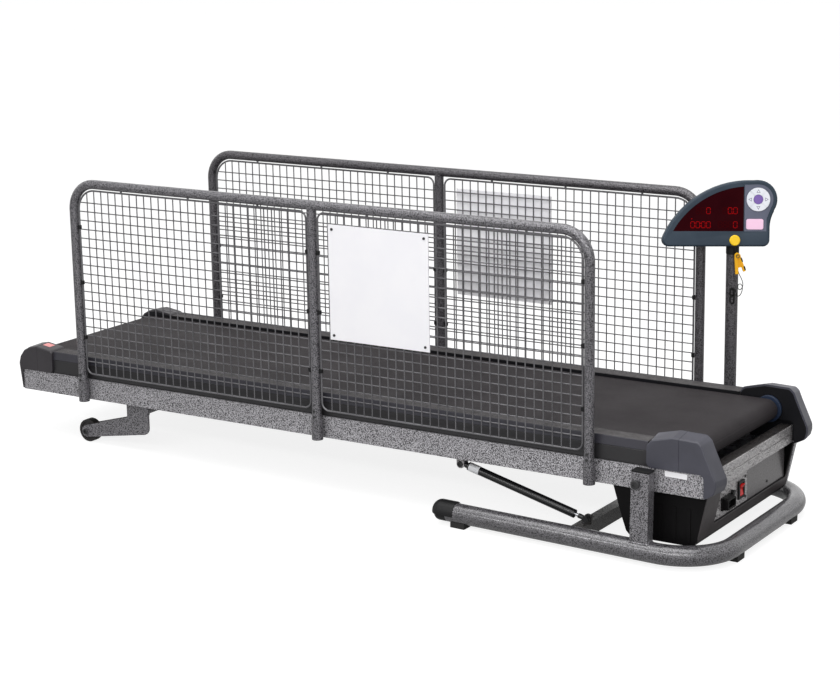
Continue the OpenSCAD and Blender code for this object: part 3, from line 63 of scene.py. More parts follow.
# Places that the part's source also uses, in metres
MM = 0.001
PIVOT = Vector((0.890581, -0.0239, 0.203))
DECK_TILT = math.radians(1.2)
CONSOLE_TURN = math.radians(33)
CONSOLE_LEAN = math.radians(8)
CONSOLE_LEVEL = math.radians(1.2 * math.cos(CONSOLE_TURN))
CONSOLE_SPOT = Vector((-0.052, 0.31235, 0.458))

deck_place = Matrix.Translation(PIVOT) @ Matrix.Rotation(-DECK_TILT, 4, "Y")
post_place = deck_place @ Matrix.Translation(CONSOLE_SPOT) @ Matrix.Rotation(CONSOLE_TURN, 4, "Z")
console_place = post_place @ Matrix.Rotation(-CONSOLE_LEAN, 4, "X") @ Matrix.Rotation(CONSOLE_LEVEL, 4, "Y")


# Camera

CAMERA_SPOT = Vector((2.9921, -4.6253 + PIVOT.y, 1.7374))
CAMERA_AZIMUTH = math.radians(32.2645)
CAMERA_ELEVATION = math.radians(14.2636)
CAMERA_ROLL = math.radians(0.1325)
CAMERA_LENS = 90.125


def add_camera():
    a, e = CAMERA_AZIMUTH, CAMERA_ELEVATION
    back = Vector((math.sin(a) * math.cos(e), -math.cos(a) * math.cos(e), math.sin(e)))
    right = Vector((math.cos(a), math.sin(a), 0))
    turn = Matrix((right, back.cross(right), back)).transposed().to_4x4()
    camera = bpy.data.objects.new("camera", bpy.data.cameras.new("camera"))
    camera.data.lens = CAMERA_LENS
    camera.data.clip_end = 60
    camera.matrix_world = Matrix.Translation(CAMERA_SPOT) @ turn @ Matrix.Rotation(CAMERA_ROLL, 4, "Z")
    scene.collection.objects.link(camera)
    scene.camera = camera


add_camera()


# Making meshes, in millimetres

SHARP_EDGE = 38
SIDES = (("left", 1), ("right", -1))


def skin_rings(rings, looped=False):
    """A mesh over rings of points, closed at both ends or, when looped, back to its first ring."""
    work = bmesh.new()
    loops = [[work.verts.new(point) for point in ring] for ring in rings]
    if looped:
        loops.append(loops[0])
    count = len(rings[0])
    for lower, upper in zip(loops, loops[1:]):
        for i in range(count):
            j = (i + 1) % count
            work.faces.new((lower[i], lower[j], upper[j], upper[i]))
    if not looped:
        work.faces.new(loops[0])
        work.faces.new(loops[-1])
    bmesh.ops.recalc_face_normals(work, faces=work.faces)
    return work


def round_corners(corners, radius, steps=6):
    """A closed outline whose corners are drawn as short curves."""
    outline = []
    count = len(corners)
    for i in range(count):
        corner = Vector(corners[i])
        before = Vector(corners[i - 1]) - corner
        after = Vector(corners[(i + 1) % count]) - corner
        half = before.angle(after) / 2
        reach = min(radius / math.tan(half), 0.45 * before.length, 0.45 * after.length)
        start = corner + before.normalized() * reach
        end = corner + after.normalized() * reach
        for s in range(steps + 1):
            t = s / steps
            outline.append(start * (1 - t) ** 2 + corner * 2 * t * (1 - t) + end * t * t)
    return outline


def arc(centre, radius, first, last, steps=12):
    turns = [math.radians(first + (last - first) * i / steps) for i in range(steps + 1)]
    return [Vector((centre[0] + radius * math.cos(a), centre[1] + radius * math.sin(a))) for a in turns]


def inset(outline, depth):
    """The outline moved inwards by depth, point for point."""
    count = len(outline)
    area = sum(outline[i - 1].cross(outline[i]) for i in range(count))
    side = 1 if area > 0 else -1
    moved = []
    for i in range(count):
        first = (outline[i] - outline[i - 1]).normalized()
        second = (outline[(i + 1) % count] - outline[i]).normalized()
        normals = [Vector((-d.y, d.x)) * side for d in (first, second)]
        middle = (normals[0] + normals[1]).normalized()
        moved.append(outline[i] + middle * depth / max(0.4, middle.dot(normals[0])))
    return moved


def slab_rings(outline, low, high, rim_low, rim_high, steps=5):
    """Rings (u, y, v) of a slab from low to high along y, with its two rims rounded."""
    levels = []
    for s in range(steps + 1 if rim_low else 1):
        a = math.pi / 2 * s / steps if rim_low else 0
        levels.append((rim_low * (1 - math.sin(a)), low + rim_low * (1 - math.cos(a))))
    for s in range(steps + 1 if rim_high else 1):
        a = math.pi / 2 * s / steps if rim_high else 0
        levels.append((rim_high * (1 - math.cos(a)), high - rim_high * (1 - math.sin(a))))
    return [[Vector((p.x, y, p.y)) for p in inset(outline, depth)] for depth, y in levels]


def moulded_slab(outline, low, high, rim_low, rim_high):
    return skin_rings(slab_rings(outline, low, high, rim_low, rim_high))


def turned(profile, sides=48, looped=False):
    """A body turned about local Z from (radius, height) pairs."""
    angles = [2 * math.pi * i / sides for i in range(sides)]
    return skin_rings(
        [[Vector((r * math.cos(a), r * math.sin(a), h)) for a in angles] for r, h in profile], looped)


def circle(radius, count=24):
    turns = [2 * math.pi * i / count for i in range(count)]
    return [Vector((radius * math.cos(a), radius * math.sin(a))) for a in turns]


def hexagon(flat, count=24):
    """Points round a six-sided outline, flat being half its width across flats."""
    sixth = math.pi / 3
    return [p * flat / math.cos((2 * math.pi * i / count) % sixth - sixth / 2) for i, p in enumerate(circle(1, count))]


def socket_head(radius, height, socket):
    """A round bolt head about local Z, with a six-sided socket in its face."""
    levels = [(circle(radius), 0), (circle(radius), height * 0.7), (circle(radius - height * 0.3), height),
              (hexagon(socket), height), (hexagon(socket), height * 0.2)]
    return skin_rings([[Vector((p.x, p.y, h)) for p in ring] for ring, h in levels])


def gather(works):
    """Several pieces of mesh work as one."""
    whole = bmesh.new()
    for work in works:
        part = bpy.data.meshes.new("part")
        work.to_mesh(part)
        work.free()
        whole.from_mesh(part)
        bpy.data.meshes.remove(part)
    return whole


def facing(place, spot, side):
    """A place at a spot in millimetres, whose local Z points out to the left (1) or the right (-1)."""
    return place @ Matrix.Translation(Vector(spot) * MM) @ Matrix.Rotation(-side * math.pi / 2, 4, "X")


def score_line(work, spot, normal, width, depth):
    """A V-shaped groove of that width and depth where a plane cuts the surface."""
    normal = Vector(normal)
    for shift in (-width / 2, width / 2, 0):
        bmesh.ops.bisect_plane(
            work, geom=work.verts[:] + work.edges[:] + work.faces[:], dist=width / 50,
            plane_co=Vector(spot) + normal * shift, plane_no=normal)
    work.normal_update()
    moves = [(v, v.normal.copy()) for v in work.verts if abs((v.co - Vector(spot)).dot(normal)) < width / 20]
    for vert, outward in moves:
        vert.co -= outward * depth


def settle(work, name, place, finish, body, sharp=SHARP_EDGE):
    """Turns mesh work into a piece at its place, which rides on a body."""
    mesh = bpy.data.meshes.new(name)
    work.to_mesh(mesh)
    work.free()
    mesh.transform(place @ Matrix.Scale(MM, 4))
    mesh.polygons.foreach_set("use_smooth", [True] * len(mesh.polygons))
    mesh.set_sharp_from_angle(angle=math.radians(sharp))
    made = bpy.data.objects.new(name, mesh)
    scene.collection.objects.link(made)
    made.modifiers.new("even_shading", "WEIGHTED_NORMAL").keep_sharp = True
    mesh.materials.append(finish)
    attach(made, body)
    return made


def carve(target, cutter):
    """Takes one piece's shape out of another, and deletes the cutter."""
    cut = target.modifiers.new("carve", "BOOLEAN")
    cut.operation = "DIFFERENCE"
    cut.solver = "EXACT"
    cut.object = cutter
    bpy.context.view_layer.update()
    target.modifiers.move(len(target.modifiers) - 1, 0)
    seen = target.evaluated_get(bpy.context.evaluated_depsgraph_get())
    carved = bpy.data.meshes.new_from_object(seen)
    target.modifiers.clear()
    target.data = carved
    carved.set_sharp_from_angle(angle=math.radians(SHARP_EDGE))
    target.modifiers.new("even_shading", "WEIGHTED_NORMAL").keep_sharp = True
    bpy.data.objects.remove(cutter)


# Finishes

COLOUR, NUMBER = "NodeSocketColor", "NodeSocketFloat"
RIB_PITCH, RIB_PHASE = 0.008, math.pi / 2
WAVE_TURNS = 20 / (2 * math.pi)


def effect(name, *inputs):
    """A shader node group with named inputs (name, kind, value): the group, what it is given, and its surface spot."""
    group = bpy.data.node_groups.new(name, "ShaderNodeTree")
    for label, kind, value in inputs:
        group.interface.new_socket(name=label, in_out="INPUT", socket_type=kind).default_value = value
    given = group.nodes.new("NodeGroupInput").outputs
    return group, given, group.nodes.new("ShaderNodeTexCoord").outputs["Object"]


def put_out(group, colour, roughness, height):
    """Ends a group with the three outputs that every finish takes."""
    outputs = (("Colour", COLOUR, colour), ("Roughness", NUMBER, roughness), ("Height", NUMBER, height))
    for label, kind, _ in outputs:
        group.interface.new_socket(name=label, in_out="OUTPUT", socket_type=kind)
    result = group.nodes.new("NodeGroupOutput")
    for label, _, value in outputs:
        group.links.new(value, result.inputs[label])
    return group


def feed(tree, value, socket):
    """Links a value to a socket, or sets a plain number on it."""
    if hasattr(value, "is_output"):
        tree.links.new(value, socket)
    else:
        socket.default_value = value


def arithmetic(tree, operation, *values):
    step = tree.nodes.new("ShaderNodeMath")
    step.operation = operation
    for socket, value in zip(step.inputs, values):
        feed(tree, value, socket)
    return step.outputs["Value"]


def rescale(group, value, low, high, new_low, new_high):
    """A smooth change of a value's range inside a group."""
    step = group.nodes.new("ShaderNodeMapRange")
    step.interpolation_type = "SMOOTHSTEP"
    group.links.new(value, step.inputs["Value"])
    for label, number in (("From Min", low), ("From Max", high), ("To Min", new_low), ("To Max", new_high)):
        step.inputs[label].default_value = number
    return step.outputs["Result"]


def noise(group, vector, scale, detail=2.0, rough=0.5):
    texture = group.nodes.new("ShaderNodeTexNoise")
    for label, value in (("Vector", vector), ("Scale", scale), ("Detail", detail), ("Roughness", rough)):
        feed(group, value, texture.inputs[label])
    return texture.outputs["Fac"]


def bands(group, vector, way, scale):
    wave = group.nodes.new("ShaderNodeTexWave")
    wave.bands_direction = way
    feed(group, vector, wave.inputs["Vector"])
    feed(group, scale, wave.inputs["Scale"])
    return wave


def mapped(group, vector, label, value):
    """Coordinates turned or stretched."""
    mapping = group.nodes.new("ShaderNodeMapping")
    mapping.inputs[label].default_value = value
    group.links.new(vector, mapping.inputs["Vector"])
    return mapping.outputs["Vector"]


def blend_colours(group, factor, first, second):
    mix = group.nodes.new("ShaderNodeMix")
    mix.data_type = "RGBA"
    group.links.new(factor, mix.inputs[0])
    group.links.new(first, mix.inputs[6])
    group.links.new(second, mix.inputs[7])
    return mix.outputs[2]


def make_vein_speckle():
    """Hammered vein paint: pale flecks on a dark ground, raised a little."""
    group, given, spot = effect(
        "vein_speckle", ("Ground", COLOUR, (0.05, 0.05, 0.05, 1)), ("Fleck", COLOUR, (0.3, 0.3, 0.3, 1)),
        ("Scale", NUMBER, 200))
    cells = group.nodes.new("ShaderNodeTexVoronoi")
    group.links.new(mapped(group, spot, "Rotation", (0.5, 0.8, 0.3)), cells.inputs["Vector"])
    group.links.new(given["Scale"], cells.inputs["Scale"])
    island = rescale(group, cells.outputs["Distance"], 0.3, 0.72, 1, 0)
    lot = group.nodes.new("ShaderNodeSeparateColor")
    group.links.new(cells.outputs["Color"], lot.inputs["Color"])
    fleck = arithmetic(group, "MULTIPLY", island, rescale(group, lot.outputs["Red"], 0, 1, 0.5, 1))
    return put_out(group, blend_colours(group, fleck, given["Ground"], given["Fleck"]),
                   rescale(group, fleck, 0, 1, 0.38, 0.22), island)


def make_moulded_grain():
    """Moulded plastic: fine grain, with slow changes of shade and gloss."""
    group, given, spot = effect(
        "moulded_grain", ("Colour", COLOUR, (0.02, 0.02, 0.02, 1)), ("Handled", COLOUR, (0.03, 0.03, 0.03, 1)),
        ("Grain", NUMBER, 900), ("Dull", NUMBER, 0.5), ("Bright", NUMBER, 0.38))
    slow = rescale(group, noise(group, spot, 9, 3.0, 0.55), 0.35, 0.65, 0, 1)
    gloss = group.nodes.new("ShaderNodeMix")
    for label, value in (("Factor", slow), ("A", given["Dull"]), ("B", given["Bright"])):
        group.links.new(value, gloss.inputs[label])
    return put_out(group, blend_colours(group, slow, given["Colour"], given["Handled"]), gloss.outputs["Result"],
                   noise(group, spot, given["Grain"], 2.0, 0.6))


def make_cover_weave():
    """A belt's fine woven face: crossed threads and a faint run of shade along its length."""
    group, given, spot = effect(
        "cover_weave", ("Thread", COLOUR, (0.06, 0.055, 0.055, 1)), ("Gap", COLOUR, (0.03, 0.03, 0.03, 1)),
        ("Pitch", NUMBER, 80))
    crossed = []
    for way in ("X", "Y"):
        wave = bands(group, spot, way, given["Pitch"])
        wave.inputs["Distortion"].default_value = 0.6
        crossed.append(wave.outputs["Fac"])
    threads = rescale(group, arithmetic(group, "MULTIPLY", *crossed), 0.05, 0.6, 0, 1)
    slow = rescale(group, noise(group, spot, 5, 4.0, 0.6), 0.3, 0.7, 0.25, 0.75)
    mixed = arithmetic(group, "MULTIPLY_ADD", threads, 0.5, slow)
    return put_out(group, blend_colours(group, mixed, given["Gap"], given["Thread"]),
                   rescale(group, mixed, 0, 1, 0.78, 0.62), threads)


def make_drawn_metal():
    """Drawn or plated metal: fine streaks along one way, and slow stains."""
    group, given, spot = effect(
        "drawn_metal", ("Metal", COLOUR, (0.6, 0.6, 0.62, 1)), ("Stain", COLOUR, (0.45, 0.45, 0.47, 1)),
        ("Streaks", NUMBER, 60))
    streak = noise(group, mapped(group, spot, "Scale", (0.3, 14, 14)), given["Streaks"], 3.0, 0.6)
    stain = rescale(group, noise(group, spot, 14, 3.0, 0.6), 0.35, 0.7, 0, 1)
    return put_out(group, blend_colours(group, stain, given["Metal"], given["Stain"]),
                   rescale(group, streak, 0.3, 0.7, 0.22, 0.42), streak)


def make_strip_ribs():
    """A foot strip's ribs: pale crests and grooves darkened with painted shade along the deck, the same on both sides
    of its middle.
    """
    group, given, spot = effect(
        "strip_ribs", ("Crest", COLOUR, (0.2, 0.2, 0.2, 1)), ("Shaded_groove", COLOUR, (0.05, 0.05, 0.05, 1)))
    parts = group.nodes.new("ShaderNodeSeparateXYZ")
    group.links.new(spot, parts.inputs["Vector"])
    across = arithmetic(group, "ABSOLUTE", arithmetic(group, "SUBTRACT", parts.outputs["Y"], PIVOT.y))
    line = group.nodes.new("ShaderNodeCombineXYZ")
    group.links.new(across, line.inputs["Y"])
    wave = bands(group, line.outputs["Vector"], "Y", 1 / (WAVE_TURNS * RIB_PITCH))
    wave.inputs["Phase Offset"].default_value = RIB_PHASE
    rib = rescale(group, wave.outputs["Fac"], 0.25, 0.75, 0, 1)
    wear = rescale(group, noise(group, spot, 40, 3.0, 0.6), 0.3, 0.7, 0.72, 1)
    shade = arithmetic(group, "MULTIPLY", rib, wear)
    return put_out(group, blend_colours(group, shade, given["Shaded_groove"], given["Crest"]),
                   rescale(group, wear, 0.7, 1, 0.66, 0.5), rib)


vein_speckle = make_vein_speckle()
strip_ribs = make_strip_ribs()
moulded_grain = make_moulded_grain()
cover_weave = make_cover_weave()
drawn_metal = make_drawn_metal()


def srgb(r, g, b):
    """A colour in 0 to 255, as seen on a screen, made linear."""
    linear = [c / 255 / 12.92 if c <= 10 else ((c / 255 + 0.055) / 1.055) ** 2.4 for c in (r, g, b)]
    return (*linear, 1)


def finish_of(name, group, settings, bump, depth, metallic=0.0, coat=0.0, coat_rough=0.1, specular=0.5):
    """A material whose colour, roughness and bump come from one of the effects above."""
    material = bpy.data.materials.new(name)
    material.use_nodes = True
    tree = material.node_tree
    shader = tree.nodes["Principled BSDF"]
    for label, value in (("Metallic", metallic), ("Coat Weight", coat), ("Coat Roughness", coat_rough),
                         ("Specular IOR Level", specular)):
        shader.inputs[label].default_value = value
    look = tree.nodes.new("ShaderNodeGroup")
    look.node_tree = group
    for label, value in settings.items():
        look.inputs[label].default_value = value
    relief = tree.nodes.new("ShaderNodeBump")
    relief.inputs["Strength"].default_value = bump
    relief.inputs["Distance"].default_value = depth
    tree.links.new(look.outputs["Height"], relief.inputs["Height"])
    tree.links.new(relief.outputs["Normal"], shader.inputs["Normal"])
    tree.links.new(look.outputs["Colour"], shader.inputs["Base Color"])
    tree.links.new(look.outputs["Roughness"], shader.inputs["Roughness"])
    return material


def vein_paint(name, ground, fleck, scale=400, bump=0.5, coat=0.5):
    return finish_of(name, vein_speckle, {"Ground": srgb(*ground), "Fleck": srgb(*fleck), "Scale": scale},
                     bump, 0.0005, metallic=0.25, coat=coat, coat_rough=0.16)


def plastic(name, colour, handled, grain=900, dull=0.5, bright=0.38, bump=0.12, **more):
    return finish_of(name, moulded_grain,
                     {"Colour": srgb(*colour), "Handled": srgb(*handled), "Grain": grain, "Dull": dull,
                      "Bright": bright}, bump, 0.0003, **more)


def metal(name, colour, stain, streaks=60, bump=0.08, metallic=1.0):
    return finish_of(name, drawn_metal, {"Metal": srgb(*colour), "Stain": srgb(*stain), "Streaks": streaks},
                     bump, 0.0002, metallic=metallic)


frame_paint = vein_paint("frame_vein_paint", (64, 62, 65), (226, 224, 229))
post_paint = vein_paint("post_vein_paint", (43, 41, 44), (169, 167, 172))
# A darker copy of the vein paint for the base tube: painted shade, standing in for the shade on the tube's lower half.
tube_shaded_paint = vein_paint("tube_vein_painted_shade", (29, 27, 30), (129, 127, 132), coat=1.0)
fence_paint = vein_paint("fence_vein_paint", (38, 36, 40), (146, 144, 149))
# A darker copy of the fence's vein paint for the far fence frame and the console post: painted shade, for parts that
# stand in shadow.
far_shaded_paint = vein_paint("far_fence_painted_shade", (32, 30, 33), (116, 113, 118), coat=0.3)
# A dark vein paint: on the base cross member partly the member's own darker paint and partly painted shade, and on the
# front sill painted shade.
dark_and_shaded_paint = vein_paint("dark_vein_paint_and_painted_shade", (28, 26, 26), (84, 80, 79))
# A lighter copy of the vein paint for the front cross members and the switch plate: painted light, standing in for
# light falling from above on the frame's front.
panel_lit_paint = vein_paint("panel_vein_painted_light", (96, 93, 94), (250, 247, 248), 320, 0.4)
plate_paint = vein_paint("plate_dull_paint", (94, 91, 92), (114, 111, 112), 300, 0.15)
cap_black = plastic("cap_black_plastic", (62, 62, 71), (70, 70, 80), 1100, 0.46, 0.36)
rear_black = plastic("rear_cap_black", (44, 41, 45), (51, 48, 52), 1100, 0.46, 0.36)
# Near-black plastic for thin plates on the caps' inner sides, the foot strips' inner sides and the rails' inner faces:
# painted shade where those faces lie in shadow.
liner_black = plastic("liner_black", (14, 14, 17), (19, 19, 23), 1100, 0.5, 0.42, specular=0.2)
band_white = plastic("band_white", (240, 241, 244), (232, 234, 238), 900, 0.4, 0.32, 0.03)
skirt_black = plastic("skirt_black_plastic", (30, 29, 31), (36, 35, 37), 800, 0.50, 0.40)
# A lighter, bluer copy of the skirt plastic for the skirts' shoulders: painted sheen, as of a bright reflection along
# their tops.
skirt_sheen_slate = plastic("skirt_shoulder_painted_sheen", (45, 44, 51), (52, 51, 59), 800, 0.46, 0.36)
pan_grey = plastic("pan_front_grey", (52, 48, 49), (60, 55, 56), 900, 0.50, 0.42)
pan_black = plastic("pan_black_plastic", (12, 11, 12), (17, 16, 17), 900, 0.5, 0.4, specular=0.1)
plug_black = plastic("plug_black_plastic", (19, 19, 20), (27, 27, 28), 900, 0.5, 0.4, specular=0.22)
foot_rubber = plastic("foot_rubber", (20, 20, 20), (30, 29, 28), 700, 0.85, 0.70, 0.3)
wheel_rubber = plastic("wheel_rubber", (24, 23, 23), (36, 34, 33), 700, 0.75, 0.60, 0.3)
belt_cover = finish_of("belt_woven_cover", cover_weave,
                       {"Thread": srgb(44, 40, 42), "Gap": srgb(33, 30, 32), "Pitch": 130}, 0.35, 0.0004, specular=0.2)
# The dark groove colour is painted shade in the ribs' grooves.
rib_grey = finish_of("foot_strip_ribbed", strip_ribs, {"Crest": srgb(90, 87, 88), "Shaded_groove": srgb(34, 32, 33)},
                     0.4, 0.0005)
board_black = plastic("waxed_board", (38, 34, 32), (48, 43, 40), 300, 0.5, 0.4)
wire_grey = metal("mesh_wire", (110, 109, 112), (90, 89, 92), 120, metallic=0.3)
zinc = metal("zinc_plate", (190, 192, 196), (158, 160, 166))
chrome = metal("piston_chrome", (214, 216, 220), (196, 198, 204), 30, 0.02)
dark_steel = plastic("black_steel", (34, 34, 35), (46, 46, 47), 600, 0.42, 0.30)
strut_black = plastic("strut_black_paint", (22, 22, 23), (28, 28, 30), 1200, 0.30, 0.22, 0.05)
sign_white = plastic("sign_board_white", (251, 250, 253), (248, 247, 251), 400, 0.42, 0.32, 0.04)
alloy = metal("cast_alloy", (150, 151, 154), (128, 129, 132), 40)
console_blue = plastic("console_slate_blue", (40, 52, 64), (46, 59, 72), 1500, 0.50, 0.42, 0.08, specular=0.25)
window_red = plastic("smoked_window", (38, 3, 8), (44, 5, 10), 2000, 0.55, 0.48, 0.0, specular=0.015)
panel_violet = plastic("key_panel_violet", (88, 92, 108), (96, 100, 117), 1800, 0.5, 0.42, 0.06, specular=0.3)
key_white = plastic("key_white", (236, 238, 244), (226, 229, 238), 1600, 0.42, 0.34, 0.04)
key_violet = plastic("key_violet", (110, 80, 160), (122, 92, 170), 1600, 0.45, 0.36, 0.04)
key_pink = plastic("key_pale_pink", (252, 212, 236), (249, 205, 232), 1600, 0.45, 0.36, 0.04)
print_violet = plastic("key_print", (96, 92, 122), (108, 104, 132), 1600, 0.5, 0.45, 0.02)
rocker_red = plastic("rocker_red", (236, 44, 42), (224, 32, 34), 1600, 0.30, 0.20, 0.03)
safety_yellow = plastic("safety_yellow", (250, 206, 10), (246, 194, 6), 1400, 0.42, 0.32, 0.06)
clip_amber = plastic("clip_amber", (250, 188, 14), (245, 172, 8), 1400, 0.42, 0.32, 0.06)
patch_red = plastic("patch_pale_red", (240, 164, 162), (232, 142, 142), 1200, 0.45, 0.36, 0.03)
cord_black = plastic("braided_cord", (13, 13, 14), (20, 20, 21), 2600, 0.75, 0.6, 0.5, specular=0.2)
ring_blue = plastic("roller_collar_blue", (22, 36, 58), (28, 43, 68), 1200, 0.45, 0.35)


def glow(name, colour, strength):
    """A finish for display segments, which shine in their own colour; the faint shine of unlit segments is painted
    glow.
    """
    material = plastic(name, colour, tuple(int(c * 0.9) for c in colour), 900, 0.6, 0.5, 0.02, specular=0.0)
    tree = material.node_tree
    shader = tree.nodes["Principled BSDF"]
    tree.links.new(tree.nodes["Group"].outputs["Colour"], shader.inputs["Emission Color"])
    shader.inputs["Emission Strength"].default_value = strength
    return material


segment_lit = glow("display_segment_lit", (142, 10, 10), 0.45)
# Unlit segments are given a faint glow as well: painted glow, as they are not lit.
unlit_segment_glow = glow("display_segment_unlit", (58, 5, 9), 0.05)


# Safety cord: the route that the part's source gives, from the key past the clip to the hank

CORD_DIAMETER = 2.0
CORD_ROUTE = [
    (0, -34, 7.9), (1, -33, -3), (3, -31, -12), (6, -30.5, -30), (8, -30.5, -46), (12, -31, -63), (18, -33, -76),
    (22, -35, -87), (22, -36, -98), (16, -37, -106), (10, -39, -102), (10, -42, -92), (16, -44, -90),
    (20, -44, -98), (19, -43, -110), (14, -42, -120), (7, -41, -122), (5, -39, -114), (3, -37, -106),
    (-1, -36, -102), (-6, -36, -101)]
CORD_STEPS = 8
HANK_MIDDLE = Vector((-6, -36, -121))
HANK_LOOPS = 7
HANK_HALF_RUN = 15
HANK_FOLD = 5
HANK_PITCH = 2.1
HANK_STEPS = 24
TIE_BACK, TIE_MARGIN, TIE_HALF, TIE_WALL = -34.4, 1.6, 2.4, 0.8
KNOT_SHIFT, KNOT_SIZE, KNOT_STEPS = Vector((-1.2, -0.6, 0)), 0.85, 48


def cord_point(place):
    """A point on the smooth curve through the route, at a place counted in route points."""
    last = len(CORD_ROUTE) - 1
    i = min(int(place), last - 1)
    t = place - i
    a, b, c, d = (Vector(CORD_ROUTE[max(0, min(last, k))]) for k in (i - 1, i, i + 1, i + 2))
    return 0.5 * (2 * b + (c - a) * t + (2 * a - 5 * b + 4 * c - d) * t ** 2 + (3 * b - a - 3 * c + d) * t ** 3)


def hank_point(i):
    """A point on the hank's loops, each a little in front of the last."""
    k = (i + HANK_STEPS / 3) % HANK_STEPS
    q = HANK_STEPS / 6
    if k < q:
        across, up = HANK_FOLD, HANK_HALF_RUN * (2 * k / q - 1)
    elif k < 3 * q:
        turn = math.radians((k - q) * 90 / q)
        across, up = HANK_FOLD * math.cos(turn), HANK_HALF_RUN + HANK_FOLD * math.sin(turn)
    elif k < 4 * q:
        across, up = -HANK_FOLD, HANK_HALF_RUN * (1 - 2 * (k - 3 * q) / q)
    else:
        turn = math.radians(180 + (k - 4 * q) * 90 / q)
        across, up = HANK_FOLD * math.cos(turn), HANK_FOLD * math.sin(turn) - HANK_HALF_RUN
    return HANK_MIDDLE + Vector((across, -HANK_PITCH * i / HANK_STEPS, up))


def tube_curve(name, points, diameter, finish, body, cyclic=False):
    """A round cord or wire through points in metres."""
    line = bpy.data.curves.new(name, "CURVE")
    line.dimensions = "3D"
    line.bevel_depth = diameter / 2
    line.bevel_resolution = 3
    line.use_fill_caps = True
    spline = line.splines.new("POLY")
    spline.points.add(len(points) - 1)
    for knot, point in zip(spline.points, points):
        knot.co = (*point, 1)
    spline.use_cyclic_u = cyclic
    line.materials.append(finish)
    made = bpy.data.objects.new(name, line)
    scene.collection.objects.link(made)
    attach(made, body)
    return made


def add_safety_cord():
    route = [cord_point(i / CORD_STEPS) for i in range((len(CORD_ROUTE) - 1) * CORD_STEPS)]
    loops = [hank_point(i) for i in range(HANK_LOOPS * HANK_STEPS + 1)]
    points = [post_place @ (p * MM) for p in route + loops]
    cord = tube_curve("safety_cord_line", points, CORD_DIAMETER * MM, cord_black, "safety")
    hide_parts("safety_cord", "cord_hank")

    front = HANK_MIDDLE.y - HANK_PITCH * HANK_LOOPS - TIE_MARGIN
    left, right = HANK_MIDDLE.x - HANK_FOLD - TIE_MARGIN, HANK_MIDDLE.x + HANK_FOLD + TIE_MARGIN
    outline = round_corners([(left, TIE_BACK), (right, TIE_BACK), (right, front), (left, front)], 3)
    levels = [(0, -TIE_HALF), (0, TIE_HALF), (TIE_WALL, TIE_HALF), (TIE_WALL, -TIE_HALF)]
    rings = [[Vector((p.x, p.y, HANK_MIDDLE.z + up)) for p in inset(outline, depth)] for depth, up in levels]
    tie = settle(skin_rings(rings, looped=True), "hank_tie", post_place, plug_black, "safety")

    end = loops[-1] + KNOT_SHIFT
    turns = [2 * math.pi * i / KNOT_STEPS for i in range(KNOT_STEPS)]
    trefoil = [Vector((math.sin(t) + 2 * math.sin(2 * t), -math.sin(3 * t), math.cos(t) - 2 * math.cos(2 * t)))
               for t in turns]
    knot_points = [post_place @ ((end + KNOT_SIZE * p) * MM) for p in trefoil]
    knot = tube_curve("cord_end_knot", knot_points, CORD_DIAMETER * MM, cord_black, "safety", cyclic=True)


add_safety_cord()


# Moulded end caps on the deck's four corners

CAP_OUT = 298
CAP_RIM, CAP_RIM_STEPS, CAP_LIP = 4, 5, 1.5
REAR_CAP_IN, REAR_CAP_DRAFT = 240, 1.5
CAP_SEAT = 34
CAP_TONGUE = 0.45
CAP_SEAM_WIDTH = 1.4
CAP_SEAM_DEPTH = 1.1
FRONT_CAP = [(7, 34), (7, 99.1), (14.9, 107.9), (73.9, 122), (142.5, 120.2), (154.8, 109.2), (164.5, 86.4),
             (193.6, 21.7), (194.4, 7.6), (188.3, -10), (165.4, -22.3), (156.05, -22), (156.05, 34)]
REAR_CAP = [(-1865, 34), (-1865, 99.1), (-1925, 107.6), (-1950, 103), (-1972, 91), (-1987, 72), (-1993.5, 50),
            (-1982, -22), (-1979.05, -22), (-1979.05, 34)]


def drafted(corners, depth):
    """Corners of an outline drawn in by depth, but not along its seat, the rail's end or the foot strip."""
    joint, rail_end = corners[0][0], corners[-1][0]
    count = len(corners)
    drawn = []
    for i, (x, y) in enumerate(corners):
        lines = []
        for a, b in ((corners[i - 1], corners[i]), (corners[i], corners[(i + 1) % count])):
            way = (Vector(b) - Vector(a)).normalized()
            held = a[0] == b[0] and a[0] in (joint, rail_end) or a[1] == b[1] == CAP_SEAT
            inward = Vector((way.y, -way.x)) * (1 if joint < rail_end else -1)
            lines.append((Vector(a) + inward * (0 if held else depth), way))
        (p, v), (q, w) = lines
        turn = v.cross(w)
        spot = p + v * ((q - p).cross(w) / turn) if abs(turn) > 0.02 else Vector((x, y))
        if y < CAP_SEAT:
            keep = rail_end + CAP_TONGUE * (x - rail_end)
            spot.y = y
            spot.x = max(spot.x, keep) if x > rail_end else min(spot.x, keep)
        drawn.append(spot)
    return drawn


# Name, outline, finish, inner side, seam's place, corner radius and draft of each cap
END_CAPS = (("front_cap", FRONT_CAP, cap_black, 248, 91, 14, 7),
            ("rear_cap", REAR_CAP, rear_black, REAR_CAP_IN, -1921, 12, REAR_CAP_DRAFT))


def cap_rings(corners, edge, levels, sign):
    return [[Vector((p.x, y * sign, p.y)) for p in round_corners(drafted(corners, depth), edge)] for depth, y in levels]


